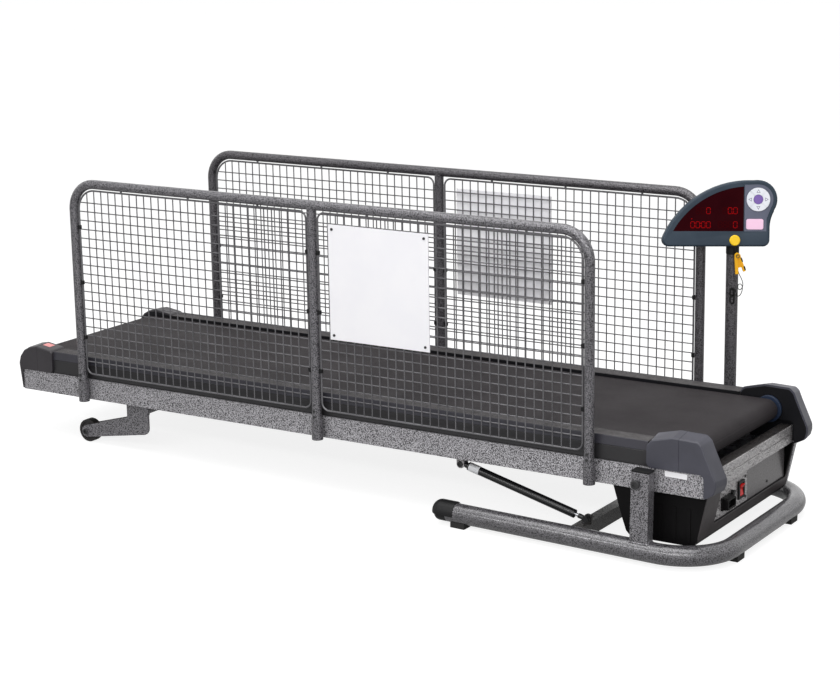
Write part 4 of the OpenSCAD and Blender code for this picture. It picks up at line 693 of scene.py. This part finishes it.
def add_end_caps():
    for name, corners, finish, inner, seam, edge, draft in END_CAPS:
        levels = [(1.2, inner), (0.4, inner + 0.4), (0, inner + CAP_LIP)]
        for s in range(CAP_RIM_STEPS + 1):
            a = math.pi / 2 * s / CAP_RIM_STEPS
            levels.append((draft + CAP_RIM * (1 - math.cos(a)), CAP_OUT - CAP_RIM * (1 - math.sin(a))))
        # Near-black plates just inside each cap: painted shade on the cap's inner side.
        liner_levels = ((5, inner + 0.8), (5, inner - 0.6), (5.5, inner - 1.1))
        for side, sign in SIDES:
            work = skin_rings(cap_rings(corners, edge, levels, sign))
            score_line(work, (seam, 0, 0), (1, 0, 0), CAP_SEAM_WIDTH, CAP_SEAM_DEPTH)
            cap = settle(work, f"{name}_{side}", deck_place, finish, "deck")
            plate = skin_rings(cap_rings(corners, edge, liner_levels, sign))
            shade_plate = settle(plate, f"{name}_liner_{side}", deck_place, liner_black, "deck")
            if sign > 0:
                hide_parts(f"{name}s")


add_end_caps()


# Console: front and back mouldings with a rolled edge

FACE_ARCS = [((73.4, 18.5), 17, -90, 0), ((178.4, 50), 88, 180, 152), ((59.2, 122), 50, -33, 99),
             ((38.8, -71.5), 243, 88, 155), ((-168.7, 18), 16.5, 160, 270)]
WINDOW_SIDE, WINDOW_LOW, WINDOW_RIM = 22.4, 41.3, 227.4
PANEL_SIDE, PANEL_LOW, PANEL_RIGHT, PANEL_NECK = 24.4, 40.5, 81, 72.5
PANEL_RIM, PANEL_BULGE = 232, 39
FACE_FRONT, FACE_SPLIT, FACE_BACK = -32, -20, 8
FACE_ROLL, COVER_ROLL, SPLIT_ROLL, SPLIT_GAP = 5.5, 11, 1, 0.4
WINDOW_POCKET, PANEL_POCKET = 3.4, 5.3
COLLAR = [(16.1, -18), (16.6, -18), (17, -17.4), (17, 6), (16.1, 6)]


def face_outline():
    return [point for centre, radius, first, last in FACE_ARCS for point in arc(centre, radius, first, last, 14)]


def window_outline(grow):
    rim = WINDOW_RIM + grow
    side, low = WINDOW_SIDE + grow, WINDOW_LOW - grow
    sweep = FACE_ARCS[3][0]
    first = math.degrees(math.acos((side - sweep[0]) / rim))
    last = 180 - math.degrees(math.asin((low - sweep[1]) / rim))
    return [Vector((side, low))] + arc(sweep, rim, first, last, 24)


def panel_outline(grow):
    rim = PANEL_RIM + grow
    side, low, right = PANEL_SIDE - grow, PANEL_LOW - grow, PANEL_RIGHT + grow
    sweep, bulge = FACE_ARCS[3][0], FACE_ARCS[2][0]
    top = sweep[1] + math.sqrt(rim ** 2 - (side - sweep[0]) ** 2)
    return ([Vector((side, low)), Vector((right, low)), Vector((right, PANEL_NECK))]
            + arc(bulge, PANEL_BULGE + grow, -33, 90, 14) + [Vector((side, top))])


def add_console():
    face = moulded_slab(face_outline(), FACE_FRONT, FACE_SPLIT - SPLIT_GAP, FACE_ROLL, SPLIT_ROLL)
    shell = settle(face, "console_face", console_place, console_blue, "console")
    for outline, depth in ((window_outline(0.3), WINDOW_POCKET), (panel_outline(0.2), PANEL_POCKET)):
        pocket = moulded_slab(outline, FACE_FRONT - 2, FACE_FRONT + depth, 0, 0)
        carve(shell, settle(pocket, "cutter", console_place, console_blue, "console"))
    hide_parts("console_front")

    back = moulded_slab(face_outline(), FACE_SPLIT, FACE_BACK, SPLIT_ROLL, COVER_ROLL)
    cover = settle(back, "console_cover", console_place, console_blue, "console")
    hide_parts("console_back")
    collar = settle(turned(COLLAR, looped=True), "console_collar", post_place, plug_black, "console")

    pane = moulded_slab(window_outline(0), FACE_FRONT + 0.5, FACE_FRONT + 3.2, 0.4, 0)
    window = settle(pane, "display_glass", console_place, window_red, "console")
    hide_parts("display_window")


add_console()


# Display segments: lit digits and the faint unlit ones beside them

DIGIT_WIDTH, DIGIT_HEIGHT, SEGMENT, SEGMENT_GAP = 9.6, 15.6, 1.6, 0.5
SEGMENT_LEVELS = (FACE_FRONT + 0.52, FACE_FRONT + 0.3)
DOT_RADIUS, DOT_SIDES = 1.3, 16
SEGMENT_BARS = {
    "top": ((0, 1), (1, 1)), "middle": ((0, 0.5), (1, 0.5)), "bottom": ((0, 0), (1, 0)),
    "high_left": ((0, 0.5), (0, 1)), "high_right": ((1, 0.5), (1, 1)),
    "low_left": ((0, 0), (0, 0.5)), "low_right": ((1, 0), (1, 0.5))}
LIT_DIGITS = [(-73.2, 85.8), (-17.8, 85.8), (-4, 85.8), (-113.5, 49.8), (-100.2, 49.8), (-86, 49.8), (-72.8, 49.8),
              (-4, 49.8)]
UNLIT_DIGITS = [(-100, 85.8), (-86.5, 85.8), (-31, 85.8), (-43, 49.8), (-30, 49.8), (-17, 49.8)]
LIT_DOTS = [(-88.3, 54.6), (-88.3, 61), (-6.2, 86.4), (-111, 73)]


def add_plate(work, outline):
    """Adds a thin plate of that outline on the display's glass."""
    rings = [[work.verts.new((p.x, y, p.y)) for p in outline] for y in SEGMENT_LEVELS]
    count = len(outline)
    for i in range(count):
        j = (i + 1) % count
        work.faces.new((rings[0][i], rings[0][j], rings[1][j], rings[1][i]))
    for ring in rings:
        work.faces.new(ring)


def add_digit(work, corner, names):
    """Adds a digit's bars of those names, each a six-sided plate, at a corner of the display."""
    for name in names:
        start, end = SEGMENT_BARS[name]
        a = Vector((corner[0] + start[0] * DIGIT_WIDTH, corner[1] + start[1] * DIGIT_HEIGHT))
        b = Vector((corner[0] + end[0] * DIGIT_WIDTH, corner[1] + end[1] * DIGIT_HEIGHT))
        way = (b - a).normalized()
        side = Vector((-way.y, way.x)) * SEGMENT / 2
        a, b = a + way * SEGMENT_GAP, b - way * SEGMENT_GAP
        near, far = a + way * SEGMENT / 2, b - way * SEGMENT / 2
        add_plate(work, [a, near + side, far + side, b, far - side, near - side])


def add_display():
    lit, unlit = bmesh.new(), bmesh.new()
    ring = [name for name in SEGMENT_BARS if name != "middle"]
    for corner in LIT_DIGITS:
        add_digit(lit, corner, ring)
    for dot in LIT_DOTS:
        add_plate(lit, [Vector(dot) + p for p in circle(DOT_RADIUS, DOT_SIDES)])
    for corner in UNLIT_DIGITS:
        add_digit(unlit, corner, SEGMENT_BARS)
    for corner in LIT_DIGITS:
        add_digit(unlit, corner, ["middle"])
    for work, name, finish in ((lit, "display_digits", segment_lit), (unlit, "display_dark_digits", unlit_segment_glow)):
        bmesh.ops.recalc_face_normals(work, faces=work.faces)
        settle(work, name, console_place, finish, "console", sharp=20)


add_display()


# Arrow outlines printed on the four direction keys

DIAL_MIDDLE = Vector((59.2, 122.4))
ARROW_REACH, ARROW_TIP, ARROW_TAIL, ARROW_HALF, ARROW_LINE = 20.6, 5.28, 3.3, 4.95, 1.1
KEY_FACE = FACE_FRONT - 1.5
PRINT_LOW, PRINT_HIGH = KEY_FACE + 0.02, KEY_FACE - 0.12


def add_key_prints():
    for name, turn in (("right", 0), ("up", 90), ("left", 180), ("down", 270)):
        a = math.radians(turn)
        out, side = Vector((math.cos(a), math.sin(a))), Vector((-math.sin(a), math.cos(a)))
        middle = DIAL_MIDDLE + out * ARROW_REACH
        tail = middle - out * ARROW_TAIL
        corners = [middle + out * ARROW_TIP, tail + side * ARROW_HALF, tail - side * ARROW_HALF]
        levels = ((0, PRINT_LOW), (0, PRINT_HIGH), (ARROW_LINE, PRINT_HIGH), (ARROW_LINE, PRINT_LOW))
        rings = [[Vector((p.x, y, p.y)) for p in inset(corners, depth)] for depth, y in levels]
        arrow = settle(skin_rings(rings, looped=True), f"arrow_{name}", console_place, print_violet, f"key_{name}_body")


add_key_prints()


# White wedges that close the gaps between the four direction keys

WEDGE_HALF = math.radians(2.4)
WEDGE_IN, WEDGE_OUT = 13.4, 29.6


def add_key_wedges():
    wedges = []
    for turn in (45, 135, 225, 315):
        a = math.radians(turn)
        outline = [DIAL_MIDDLE + r * Vector((math.cos(a + b), math.sin(a + b)))
                   for r, b in ((WEDGE_IN, -WEDGE_HALF), (WEDGE_OUT, -WEDGE_HALF), (WEDGE_OUT, WEDGE_HALF),
                                (WEDGE_IN, WEDGE_HALF))]
        wedges.append(moulded_slab(outline, KEY_FACE + 0.5, FACE_FRONT + 2.4, 0.1, 0))
    settle(gather(wedges), "key_wedges", console_place, key_white, "console")


add_key_wedges()


# Screws in the console's back

CONSOLE_SCREWS = ((-140, 30), (60, 30), (60, 128), (-40, 110))


def add_console_screws():
    heads = []
    for u, v in CONSOLE_SCREWS:
        head = socket_head(4.2, 1.6, 1.7)
        head.transform(Matrix.Translation((u, FACE_BACK - 0.2, v)) @ Matrix.Rotation(-math.pi / 2, 4, "X"))
        heads.append(head)
    settle(gather(heads), "console_screws", console_place, dark_steel, "console")


add_console_screws()


# Safety clip's spring, black pads of painted shadow on its jaw, and web, and the sleeve where the cord leaves its key

CLIP_FRONT = -41.9
CLIP_PIVOT = Vector((7, CLIP_FRONT, -17))
CLIP_JAW_LEAN = math.radians(20)
CLIP_ARM_LEAN = math.radians(4)
CLIP_WEB = 31
SPRING_RADIUS, SPRING_WIRE, SPRING_STEPS, SPRING_PITCH = 4.2, 1.6, 24, 0.12
SHADOW_PAD_HEIGHTS, SHADOW_PAD_ACROSS, SHADOW_PAD_OUT, SHADOW_PAD_HALF = (-13, -36), 4.9, 8.5, 6
SLEEVE_DIAMETER = 4.2


def add_clip_trim():
    turns = [2 * math.pi * i / SPRING_STEPS for i in range(61)]
    coil = [CLIP_PIVOT + Vector((SPRING_RADIUS * math.cos(t), -0.5 - SPRING_PITCH * t, SPRING_RADIUS * math.sin(t)))
            for t in turns]
    spring = tube_curve("clip_spring", [post_place @ (p * MM) for p in coil], SPRING_WIRE * MM, dark_steel, "safety")
    jaw = Matrix.Translation((CLIP_PIVOT.x, 0, CLIP_PIVOT.z)) @ Matrix.Rotation(-CLIP_JAW_LEAN, 4, "Y")
    # Black pads where the jaw shows dark: painted shadow.
    grips = []
    for height in SHADOW_PAD_HEIGHTS:
        outline = round_corners([(SHADOW_PAD_ACROSS, height - SHADOW_PAD_HALF), (SHADOW_PAD_OUT, height - SHADOW_PAD_HALF + 1),
                                 (SHADOW_PAD_OUT, height + SHADOW_PAD_HALF - 1), (SHADOW_PAD_ACROSS, height + SHADOW_PAD_HALF)], 1.2)
        shadow_pad = moulded_slab(outline, CLIP_FRONT - 0.8, CLIP_FRONT + 7, 0.6, 0.6)
        shadow_pad.transform(jaw)
        grips.append(shadow_pad)
    settle(gather(grips), "clip_grips", post_place, plug_black, "safety")
    arm, other_arm = (Vector((CLIP_WEB * math.sin(lean), -CLIP_WEB * math.cos(lean)))
                      for lean in (CLIP_ARM_LEAN, CLIP_JAW_LEAN))
    corners = [Vector((-1, -3)), arm + Vector((-1, 0)), other_arm + Vector((1, 0)), Vector((1, -3))]
    outline = round_corners([corner + CLIP_PIVOT.xz for corner in corners], 1)
    web = moulded_slab(outline, CLIP_FRONT + 1.5, CLIP_FRONT + 7.5, 0.4, 0.4)
    settle(web, "clip_web", post_place, clip_amber, "safety")
    sleeve = [post_place @ (cord_point(i / CORD_STEPS) * MM) for i in range(1, 10)]
    tube_curve("cord_sleeve", sleeve, SLEEVE_DIAMETER * MM, plug_black, "safety")


add_clip_trim()


# Plain patches: a white one on the near rail, and a pale red one on the near rear cap's sloping top

RAIL_FACE = -294
RAIL_PATCH = [(54, 17.2), (112, 16.2), (112, 29.4), (54, 30.6)]
CAP_PATCH = [(-1919, -250), (-1893, -250), (-1893, -273), (-1919, -273)]
PATCH_SINK, PATCH_RISE = -0.3, 0.35
CAP_TOP_START, CAP_TOP_END = REAR_CAP[1], REAR_CAP[2]
CAP_TOP_RISE = (CAP_TOP_END[1] - CAP_TOP_START[1]) / (CAP_TOP_START[0] - CAP_TOP_END[0])
CAP_TOP_IN = REAR_CAP_IN + CAP_LIP
CAP_TOP_FALL = REAR_CAP_DRAFT / (CAP_OUT - CAP_RIM - CAP_TOP_IN)


def cap_top(x, y):
    """The height of the near rear cap's sloping top."""
    return CAP_TOP_START[1] + (CAP_TOP_START[0] - x) * CAP_TOP_RISE - (-y - CAP_TOP_IN) * CAP_TOP_FALL


def add_patches():
    outline = [Vector(corner) for corner in RAIL_PATCH]
    patch = moulded_slab(outline, RAIL_FACE - PATCH_RISE, RAIL_FACE + 0.1, 0.1, 0)
    settle(patch, "rail_patch", deck_place, sign_white, "deck")
    rings = [[Vector((x, y, cap_top(x, y) + lift)) for x, y in CAP_PATCH] for lift in (PATCH_SINK, PATCH_RISE)]
    settle(skin_rings(rings), "cap_patch", deck_place, patch_red, "deck")


add_patches()


# Skirts under the foot strips, each with a shoulder along its top in a lighter slate that is painted sheen, and black
# lips on the strips' inner sides that are painted shade

SKIRT_ENDS = (-1864.9, 6.9)
SKIRT_FACE = [(287.1, 33.3), (288.6, 33.3), (288.6, 36), (290.6, 36), (291.4, 36.8), (291.4, 70.8), (290.8, 71.6),
              (287.1, 71.6)]
SKIRT_SHOULDER = [(287.1, 72.2), (290.8, 72.2), (291.4, 73), (288.8, 94), (288, 95.2), (287.1, 95.2)]
# A thin black plate on each foot strip's inner side: painted shade, for the dark gap between strip and belt.
STRIP_SHADE_LIP = [(240.9, 85.7), (241.95, 85.7), (241.95, 95.2), (241.5, 95.2), (240.9, 94.6)]


SKIRT_PIECES = (("skirt", SKIRT_FACE, skirt_black), ("skirt_shoulder", SKIRT_SHOULDER, skirt_sheen_slate),
                ("strip_shade_lip", STRIP_SHADE_LIP, liner_black))


def add_skirts():
    for name, profile, finish in SKIRT_PIECES:
        for side, sign in SIDES:
            rings = [[Vector((x, y * sign, z)) for y, z in profile] for x in SKIRT_ENDS]
            skirt = settle(skin_rings(rings), f"{name}_{side}", deck_place, finish, "deck", sharp=25)
            if name == "skirt" and sign > 0:
                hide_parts("step_skirts")


add_skirts()


# Dark sill along the top of the front beam, and dark plates on the rails' inner faces at its ends: both painted shade
# where the belt and the caps shade them

SILL = [(113.6, 19.05), (143.6, 19.05), (143.6, 19.9), (143.1, 20.4), (114.1, 20.4), (113.6, 19.9)]
SILL_HALF = 262
RAIL_INSIDE, LINER_THICK, LINER_SINK = 264, 0.7, 0.05
RAIL_SHADE_PLATE = [(30, -22), (114.6, -22), (114.6, 19.3), (145.4, 19.3), (145.4, -22), (155.8, -22), (155.8, 32.6),
              (30, 32.6)]


def add_shade_plates():
    # A dark plate on the beam's top: painted shade, where the belt above shades the beam.
    rings = [[Vector((x, y, z)) for x, z in SILL] for y in (-SILL_HALF, SILL_HALF)]
    settle(skin_rings(rings), "front_shade_sill", deck_place, dark_and_shaded_paint, "deck", sharp=25)
    # Near-black plates on the rails' inner faces: painted shade, where the front caps shade them.
    outline = [Vector(corner) for corner in RAIL_SHADE_PLATE]
    for side, sign in SIDES:
        low, high = sorted((sign * (RAIL_INSIDE - LINER_THICK), sign * (RAIL_INSIDE + LINER_SINK)))
        shade_plate = moulded_slab(outline, low, high, 0, 0)
        settle(shade_plate, f"rail_liner_{side}", deck_place, liner_black, "deck")


add_shade_plates()


# Pan: a raised grey front round its recess, and a painted flange at its left

PAN_TOP, PAN_LEAN = (154, -25), 26.1 / 120
PAN_FRONT = [(-270, -26), (-270, -143), (270, -143), (270, -26), (252, -26), (252, -118), (-189, -118), (-189, -26)]
PAN_FLANGE = [(253, -27), (269, -27), (269, -138), (262, -138)]


def pan_panel(outline, low, high, rim):
    """A plate on the pan's leaning front, from low to high above it, with its rim drawn in."""
    def lean(p, height):
        return Vector((PAN_TOP[0] + (p.y - PAN_TOP[1]) * PAN_LEAN + height, p.x, p.y))
    return skin_rings([[lean(p, h) for p in inset(outline, d)] for d, h in ((0, low), (0, high - rim), (rim, high))])


def add_pan_front():
    front = pan_panel(round_corners(PAN_FRONT, 9), -0.4, 1.6, 0.8)
    settle(front, "pan_front", deck_place, pan_grey, "deck")
    flange = pan_panel(round_corners(PAN_FLANGE, 3), 1.2, 3.2, 0.6)
    settle(flange, "pan_flange", deck_place, frame_paint, "deck")


add_pan_front()


# Mains inlet: a moulded shroud round the socket

INLET_MIDDLE = Vector((-114, -85))
# Width, height, corner radius and place along the deck of each level, out along the shroud and back inside it
SHROUD_LEVELS = [(54, 34, 4, 131.3), (54, 34, 4, 134), (51, 31, 9, 135), (49, 29.4, 9, 147), (46, 27, 8, 149.5),
                 (40, 20, 4, 149.5), (38, 18, 4, 148.5), (38, 18, 4, 140.4), (48.6, 28.6, 2, 140.4),
                 (48.6, 28.6, 2, 131.3)]


def box_outline(width, height, radius):
    w, h = width / 2, height / 2
    return round_corners([(-w, -h), (w, -h), (w, h), (-w, h)], radius)


def add_inlet_shroud():
    rings = [[Vector((x, *(INLET_MIDDLE + p))) for p in box_outline(width, height, radius)]
             for width, height, radius, x in SHROUD_LEVELS]
    work = skin_rings(rings, looped=True)
    settle(work, "inlet_shroud", deck_place, pan_black, "deck")


add_inlet_shroud()


# Base: hoods over the tube's open ends, bolt heads and weld beads

TUBE_RADIUS, TUBE_HEIGHT = 25.4, 35.4
TUBE_RUNS = (297.1, -344.9)
HOOD_RADIUS, HOOD_START, HOOD_BEND, HOOD_END = 28.8, 386, 342, 318
PIVOT_BOLTS = (319.1, -366.9)
POST_ENDS, POST_HALF = (876.6, 923.6), 15
WELD_WIDTH, WELD_RISE, WELD_STEP = 5, 0.6, 5
HOOD_WALL, HOOD_LEAD, HOOD_GAP = 1.6, 2.5, 0.3
DOME_STEPS, DOME_SHARE = 8, 0.96
world_place = Matrix.Identity(4)


def half_round(radius, first=-8, last=188, steps=20):
    return arc((0, 0), radius, first, last, steps)


def tube_hood():
    """A hood over the upper half of a tube's end: a band on the tube and a dome past its plug."""
    inner = half_round(TUBE_RADIUS + HOOD_GAP)[::-1]
    band = [half_round(r) + inner for r in (HOOD_RADIUS - HOOD_WALL, HOOD_RADIUS, HOOD_RADIUS)]
    rings = [[Vector((x, p.x, p.y)) for p in ring]
             for ring, x in zip(band, (HOOD_START, HOOD_START - HOOD_LEAD, HOOD_BEND))]
    dome = []
    for i in range(DOME_STEPS + 1):
        t = math.pi / 2 * i / DOME_STEPS * DOME_SHARE
        x = HOOD_BEND - (HOOD_BEND - HOOD_END) * math.sin(t)
        dome.append([Vector((x, p.x, p.y)) for p in half_round(HOOD_RADIUS * math.cos(t))])
    return gather([skin_rings(rings), skin_rings(dome)])


def stepped(corners, step):
    """Points round a closed outline, about a step apart."""
    points = []
    for i, corner in enumerate(corners):
        start, end = Vector(corner), Vector(corners[(i + 1) % len(corners)])
        count = max(1, round((end - start).length / step))
        points += [start.lerp(end, k / count) for k in range(count)]
    return points


def add_base_trim():
    low, high = POST_ENDS
    corners = [(low, -POST_HALF), (high, -POST_HALF), (high, POST_HALF), (low, POST_HALF)]
    for (side, _), run in zip(SIDES, TUBE_RUNS):
        place = Matrix.Translation((0, run * MM, TUBE_HEIGHT * MM))
        settle(tube_hood(), f"tube_hood_{side}", place, plug_black, "base")
        bead = [Vector((p.x, p.y + run, TUBE_HEIGHT + math.sqrt(TUBE_RADIUS ** 2 - p.y ** 2) + WELD_RISE)) * MM
                for p in stepped(corners, WELD_STEP)]
        weld = tube_curve(f"post_weld_{side}", bead, WELD_WIDTH * MM, post_paint, "base", cyclic=True)
    for (side, sign), y in zip(SIDES, PIVOT_BOLTS):
        place = facing(world_place, (PIVOT.x / MM, y - 0.1 * sign, PIVOT.z / MM), sign)
        bolt = settle(socket_head(11, 3.2, 5), f"pivot_socket_{side}", place, dark_steel, "base")


add_base_trim()


# Gas strut: plated band, necks and piston, drawn along the strut from its upper eye

STRUT_TOP, STRUT_FOOT = Vector((355.8, -269.9, 141.8)), Vector((713.6, -269.9, 58.3))
STRUT_BOLT = Vector((0, -11.2, 0))
# Name, turned profile, finish, slot and body
STRUT_TRIM = (
    ("strut_band", [(11.05, 24), (11.4, 24.8), (11.4, 53), (11.05, 54)],
     band_white, "sign_board", "strut_cylinder_body"),
    ("strut_neck", [(6, 9.5), (7.4, 11), (7.4, 17), (10.4, 20.4), (6, 20.4)],
     dark_steel, "dark_steel", "strut_cylinder_body"),
    ("piston_sleeve", [(4.04, 90), (4.2, 90.5), (4.2, 346), (4.04, 346.5)],
     chrome, "chromed_steel", "strut_rod_body"),
    ("piston_neck", [(4.3, 344), (6.2, 345), (6.2, 356), (5.4, 358.5), (4.3, 358.5)],
     dark_steel, "dark_steel", "strut_rod_body"))


def add_strut_trim():
    along = STRUT_FOOT - STRUT_TOP
    place = Matrix.Translation(STRUT_TOP * MM) @ Matrix.Rotation(math.atan2(along.x, along.z), 4, "Y")
    for name, profile, finish, slot, body in STRUT_TRIM:
        settle(turned(profile, looped=True), name, place, finish, body)
    place = facing(world_place, STRUT_TOP + STRUT_BOLT, -1)
    bolt = settle(socket_head(8, 3, 3.6), "strut_top_bolt", place, dark_steel, "deck")


add_strut_trim()


# Rollers and wheels: blue collars on the front roller, and axle bolts

ROLLER_MIDDLE = Vector((88, 0, 60))
ROLLER_COLLAR = [(20, 237.5), (34.4, 237.5), (35.2, 238.4), (35.2, 245), (34.4, 246), (20, 246)]
AXLE_MIDDLE, AXLE_END = Vector((-1780, 0, -133.25)), 267.4


def add_roller_trim():
    for side, sign in SIDES:
        place = facing(deck_place, ROLLER_MIDDLE, sign)
        collar = turned(ROLLER_COLLAR, looped=True)
        settle(collar, f"roller_collar_{side}", place, ring_blue, "front_roller_body")
        place = facing(deck_place, AXLE_MIDDLE + Vector((0, AXLE_END * sign, 0)), sign)
        bolt = socket_head(8.6, 3.2, 3.8)
        settle(bolt, f"axle_bolt_{side}", place, dark_steel, "lift_frame_body")


add_roller_trim()


# Clips that hold the mesh panels to the fence posts

FENCE_LINE = 309.05
MESH_PANELS = ((-1722, -958), (-922, -158))
MESH_CLIP_HEIGHTS = (158, 314, 470)
MESH_CLIP_OUT, MESH_CLIP_IN, MESH_CLIP_WIDE, MESH_CLIP_NARROW, MESH_CLIP_DEEP = 5.1, 3.6, 6.5, 5, 4


def add_mesh_clips():
    for side, sign in SIDES:
        clips = []
        for rear, front in MESH_PANELS:
            for x, out in ((rear, -1), (front, 1)):
                for z in MESH_CLIP_HEIGHTS:
                    near, far = x + MESH_CLIP_OUT * out, x - MESH_CLIP_IN * out
                    outline = round_corners([(near, z - MESH_CLIP_WIDE), (far, z - MESH_CLIP_NARROW),
                                             (far, z + MESH_CLIP_NARROW), (near, z + MESH_CLIP_WIDE)], 1.5, 3)
                    line = sign * FENCE_LINE
                    clips.append(moulded_slab(outline, line - MESH_CLIP_DEEP, line + MESH_CLIP_DEEP, 1, 1))
        work = gather(clips)
        bmesh.ops.recalc_face_normals(work, faces=work.faces)
        settle(work, f"mesh_clips_{side}", deck_place, plug_black, "deck")


add_mesh_clips()


# Carried-over nodes: softened edges and their finishes

JOIN_DISTANCE = 1e-5
FLAT_ANGLE, ROUND_ANGLE = math.radians(0.5), math.radians(32)


def dress(name, finish, edge):
    """Gives a CAD node its finish and, where edge is not zero, rounded edges of that width in millimetres."""
    piece = nodes[name]
    mesh = piece.data
    mesh.materials.clear()
    mesh.materials.append(finish)
    if not edge:
        return
    loose = mesh.attributes.get("custom_normal")
    if loose:
        mesh.attributes.remove(loose)
    mesh.polygons.foreach_set("use_smooth", [True] * len(mesh.polygons))
    piece.modifiers.new("join_facets", "WELD").merge_threshold = JOIN_DISTANCE
    flat = piece.modifiers.new("clear_facets", "DECIMATE")
    flat.decimate_type = "DISSOLVE"
    flat.angle_limit = FLAT_ANGLE
    rounding = piece.modifiers.new("round_edges", "BEVEL")
    rounding.width = edge * MM
    rounding.segments = 2
    rounding.limit_method = "ANGLE"
    rounding.angle_limit = ROUND_ANGLE
    rounding.use_clamp_overlap = True
    piece.modifiers.new("even_shading", "WEIGHTED_NORMAL").keep_sharp = True


# Node, finish and width of its rounded edges
DRESSES = [
    ("base_tube", tube_shaded_paint, 0), ("pivot_posts", post_paint, 0.8), ("base_cross_member", dark_and_shaded_paint, 0.8),
    ("tube_plugs", plug_black, 0.8), ("base_feet", foot_rubber, 0.8), ("pivot_bolts", dark_steel, 0.3),
    ("side_rails", frame_paint, 2.2), ("frame_cross_members", panel_lit_paint, 1.0), ("deck_cushions", foot_rubber, 0.8),
    ("deck_board", board_black, 0.8), ("step_rails", rib_grey, 0.5),
    ("walking_belt", belt_cover, 0), ("roller_brackets", zinc, 0.5), ("fasteners", dark_steel, 0.3),
    ("motor_pan", pan_black, 1.2), ("switch_plate", panel_lit_paint, 0.5), ("blank_plate", plate_paint, 0.5),
    ("power_inlet", plug_black, 0.4), ("switch_bezel", plug_black, 0.4), ("drive_motor", dark_steel, 0.6),
    ("motor_mount", zinc, 0.5), ("motor_controller", alloy, 0.6), ("drive_belt", foot_rubber, 0),
    ("fence_sockets", fence_paint, 0.6), ("fence_frame_left", far_shaded_paint, 0), ("fence_frame_right", fence_paint, 0),
    ("fence_mesh_left", wire_grey, 0), ("fence_mesh_right", wire_grey, 0), ("sign_plates", sign_white, 0.3),
    ("console_post", far_shaded_paint, 0), ("strut_cylinder", strut_black, 0.4), ("strut_rod", dark_steel, 0.3),
    ("lift_frame", post_paint, 0.6), ("lift_motor", dark_steel, 0.5), ("lift_screw", zinc, 0.3),
    ("wheel_left", wheel_rubber, 0.8), ("wheel_right", wheel_rubber, 0.8), ("front_roller", zinc, 0.5),
    ("rear_roller", zinc, 0.5), ("motor_pulley", alloy, 0.4), ("key_panel", panel_violet, 0.3),
    ("key_up", key_white, 0.4), ("key_down", key_white, 0.4), ("key_left", key_white, 0.4),
    ("key_right", key_white, 0.4), ("key_centre", key_violet, 0.4), ("key_stop", key_pink, 0.5),
    ("rocker_switch", rocker_red, 0.5), ("breaker_button", plug_black, 0.4), ("safety_key", safety_yellow, 0.5),
    ("safety_clip", clip_amber, 0.7)]

for name, finish, edge in DRESSES:
    dress(name, finish, edge)


# Floor and light

FLOOR_SIZE, FLOOR_SHADE, FLOOR_GLOW, FLOOR_GLOSS = 30, 0.32, 0.84, 0.25
ROOM_LIGHT = 0.42
# Name, place, target, size and power
LAMPS = (("ceiling_panel", (0.3, -0.8, 3.4), (0, 0, 0.3), (4.0, 3.0), 100),
         ("side_panel", (2.6, -3.0, 2.0), (0.2, 0, 0.3), (2.0, 1.6), 30),
         ("strip_panel", (0.2, -3.4, 1.9), (0, 0, 0.2), (3.6, 0.3), 34))


def seen_rays(tree, gloss):
    """One where the camera or glass sees a surface, gloss where a reflection does, and nought for light alone."""
    path = tree.nodes.new("ShaderNodeLightPath").outputs
    reflected = arithmetic(tree, "MULTIPLY", path["Is Glossy Ray"], gloss)
    seen = arithmetic(tree, "MAXIMUM", path["Is Camera Ray"], reflected)
    return arithmetic(tree, "MAXIMUM", seen, path["Is Transmission Ray"])


def add_floor():
    """A pale floor, seen as white, which keeps the shadow."""
    work = bmesh.new()
    bmesh.ops.create_grid(work, x_segments=1, y_segments=1, size=FLOOR_SIZE)
    mesh = bpy.data.meshes.new("floor")
    work.to_mesh(mesh)
    work.free()
    floor = bpy.data.objects.new("floor", mesh)
    scene.collection.objects.link(floor)
    material = bpy.data.materials.new("pale_floor")
    material.use_nodes = True
    tree = material.node_tree
    shader = tree.nodes["Principled BSDF"]
    for label, value in (("Base Color", (FLOOR_SHADE, FLOOR_SHADE, FLOOR_SHADE, 1)), ("Roughness", 0.9),
                         ("Specular IOR Level", 0.1), ("Emission Color", (1, 1, 1, 1))):
        shader.inputs[label].default_value = value
    glow_level = arithmetic(tree, "MULTIPLY", seen_rays(tree, FLOOR_GLOSS), FLOOR_GLOW)
    tree.links.new(glow_level, shader.inputs["Emission Strength"])
    mesh.materials.append(material)


def add_world():
    """Even room light; the room itself is seen as white."""
    world = bpy.data.worlds.new("studio")
    scene.world = world
    world.use_nodes = True
    tree = world.node_tree
    room = tree.nodes["Background"]
    room.inputs["Color"].default_value = (1, 1, 1, 1)
    strength = tree.nodes.new("ShaderNodeMapRange")
    strength.inputs["To Min"].default_value = ROOM_LIGHT
    strength.inputs["To Max"].default_value = 1.0
    tree.links.new(seen_rays(tree, 1), strength.inputs["Value"])
    tree.links.new(strength.outputs["Result"], room.inputs["Strength"])


def add_lamp(name, spot, target, size, power):
    lamp = bpy.data.lights.new(name, "AREA")
    lamp.shape = "RECTANGLE"
    lamp.size, lamp.size_y = size
    lamp.energy = power
    holder = bpy.data.objects.new(name, lamp)
    holder.location = spot
    holder.rotation_euler = (Vector(target) - Vector(spot)).to_track_quat("-Z", "Y").to_euler()
    scene.collection.objects.link(holder)


add_floor()
add_world()
for lamp in LAMPS:
    add_lamp(*lamp)
scene.view_settings.view_transform = "Standard"
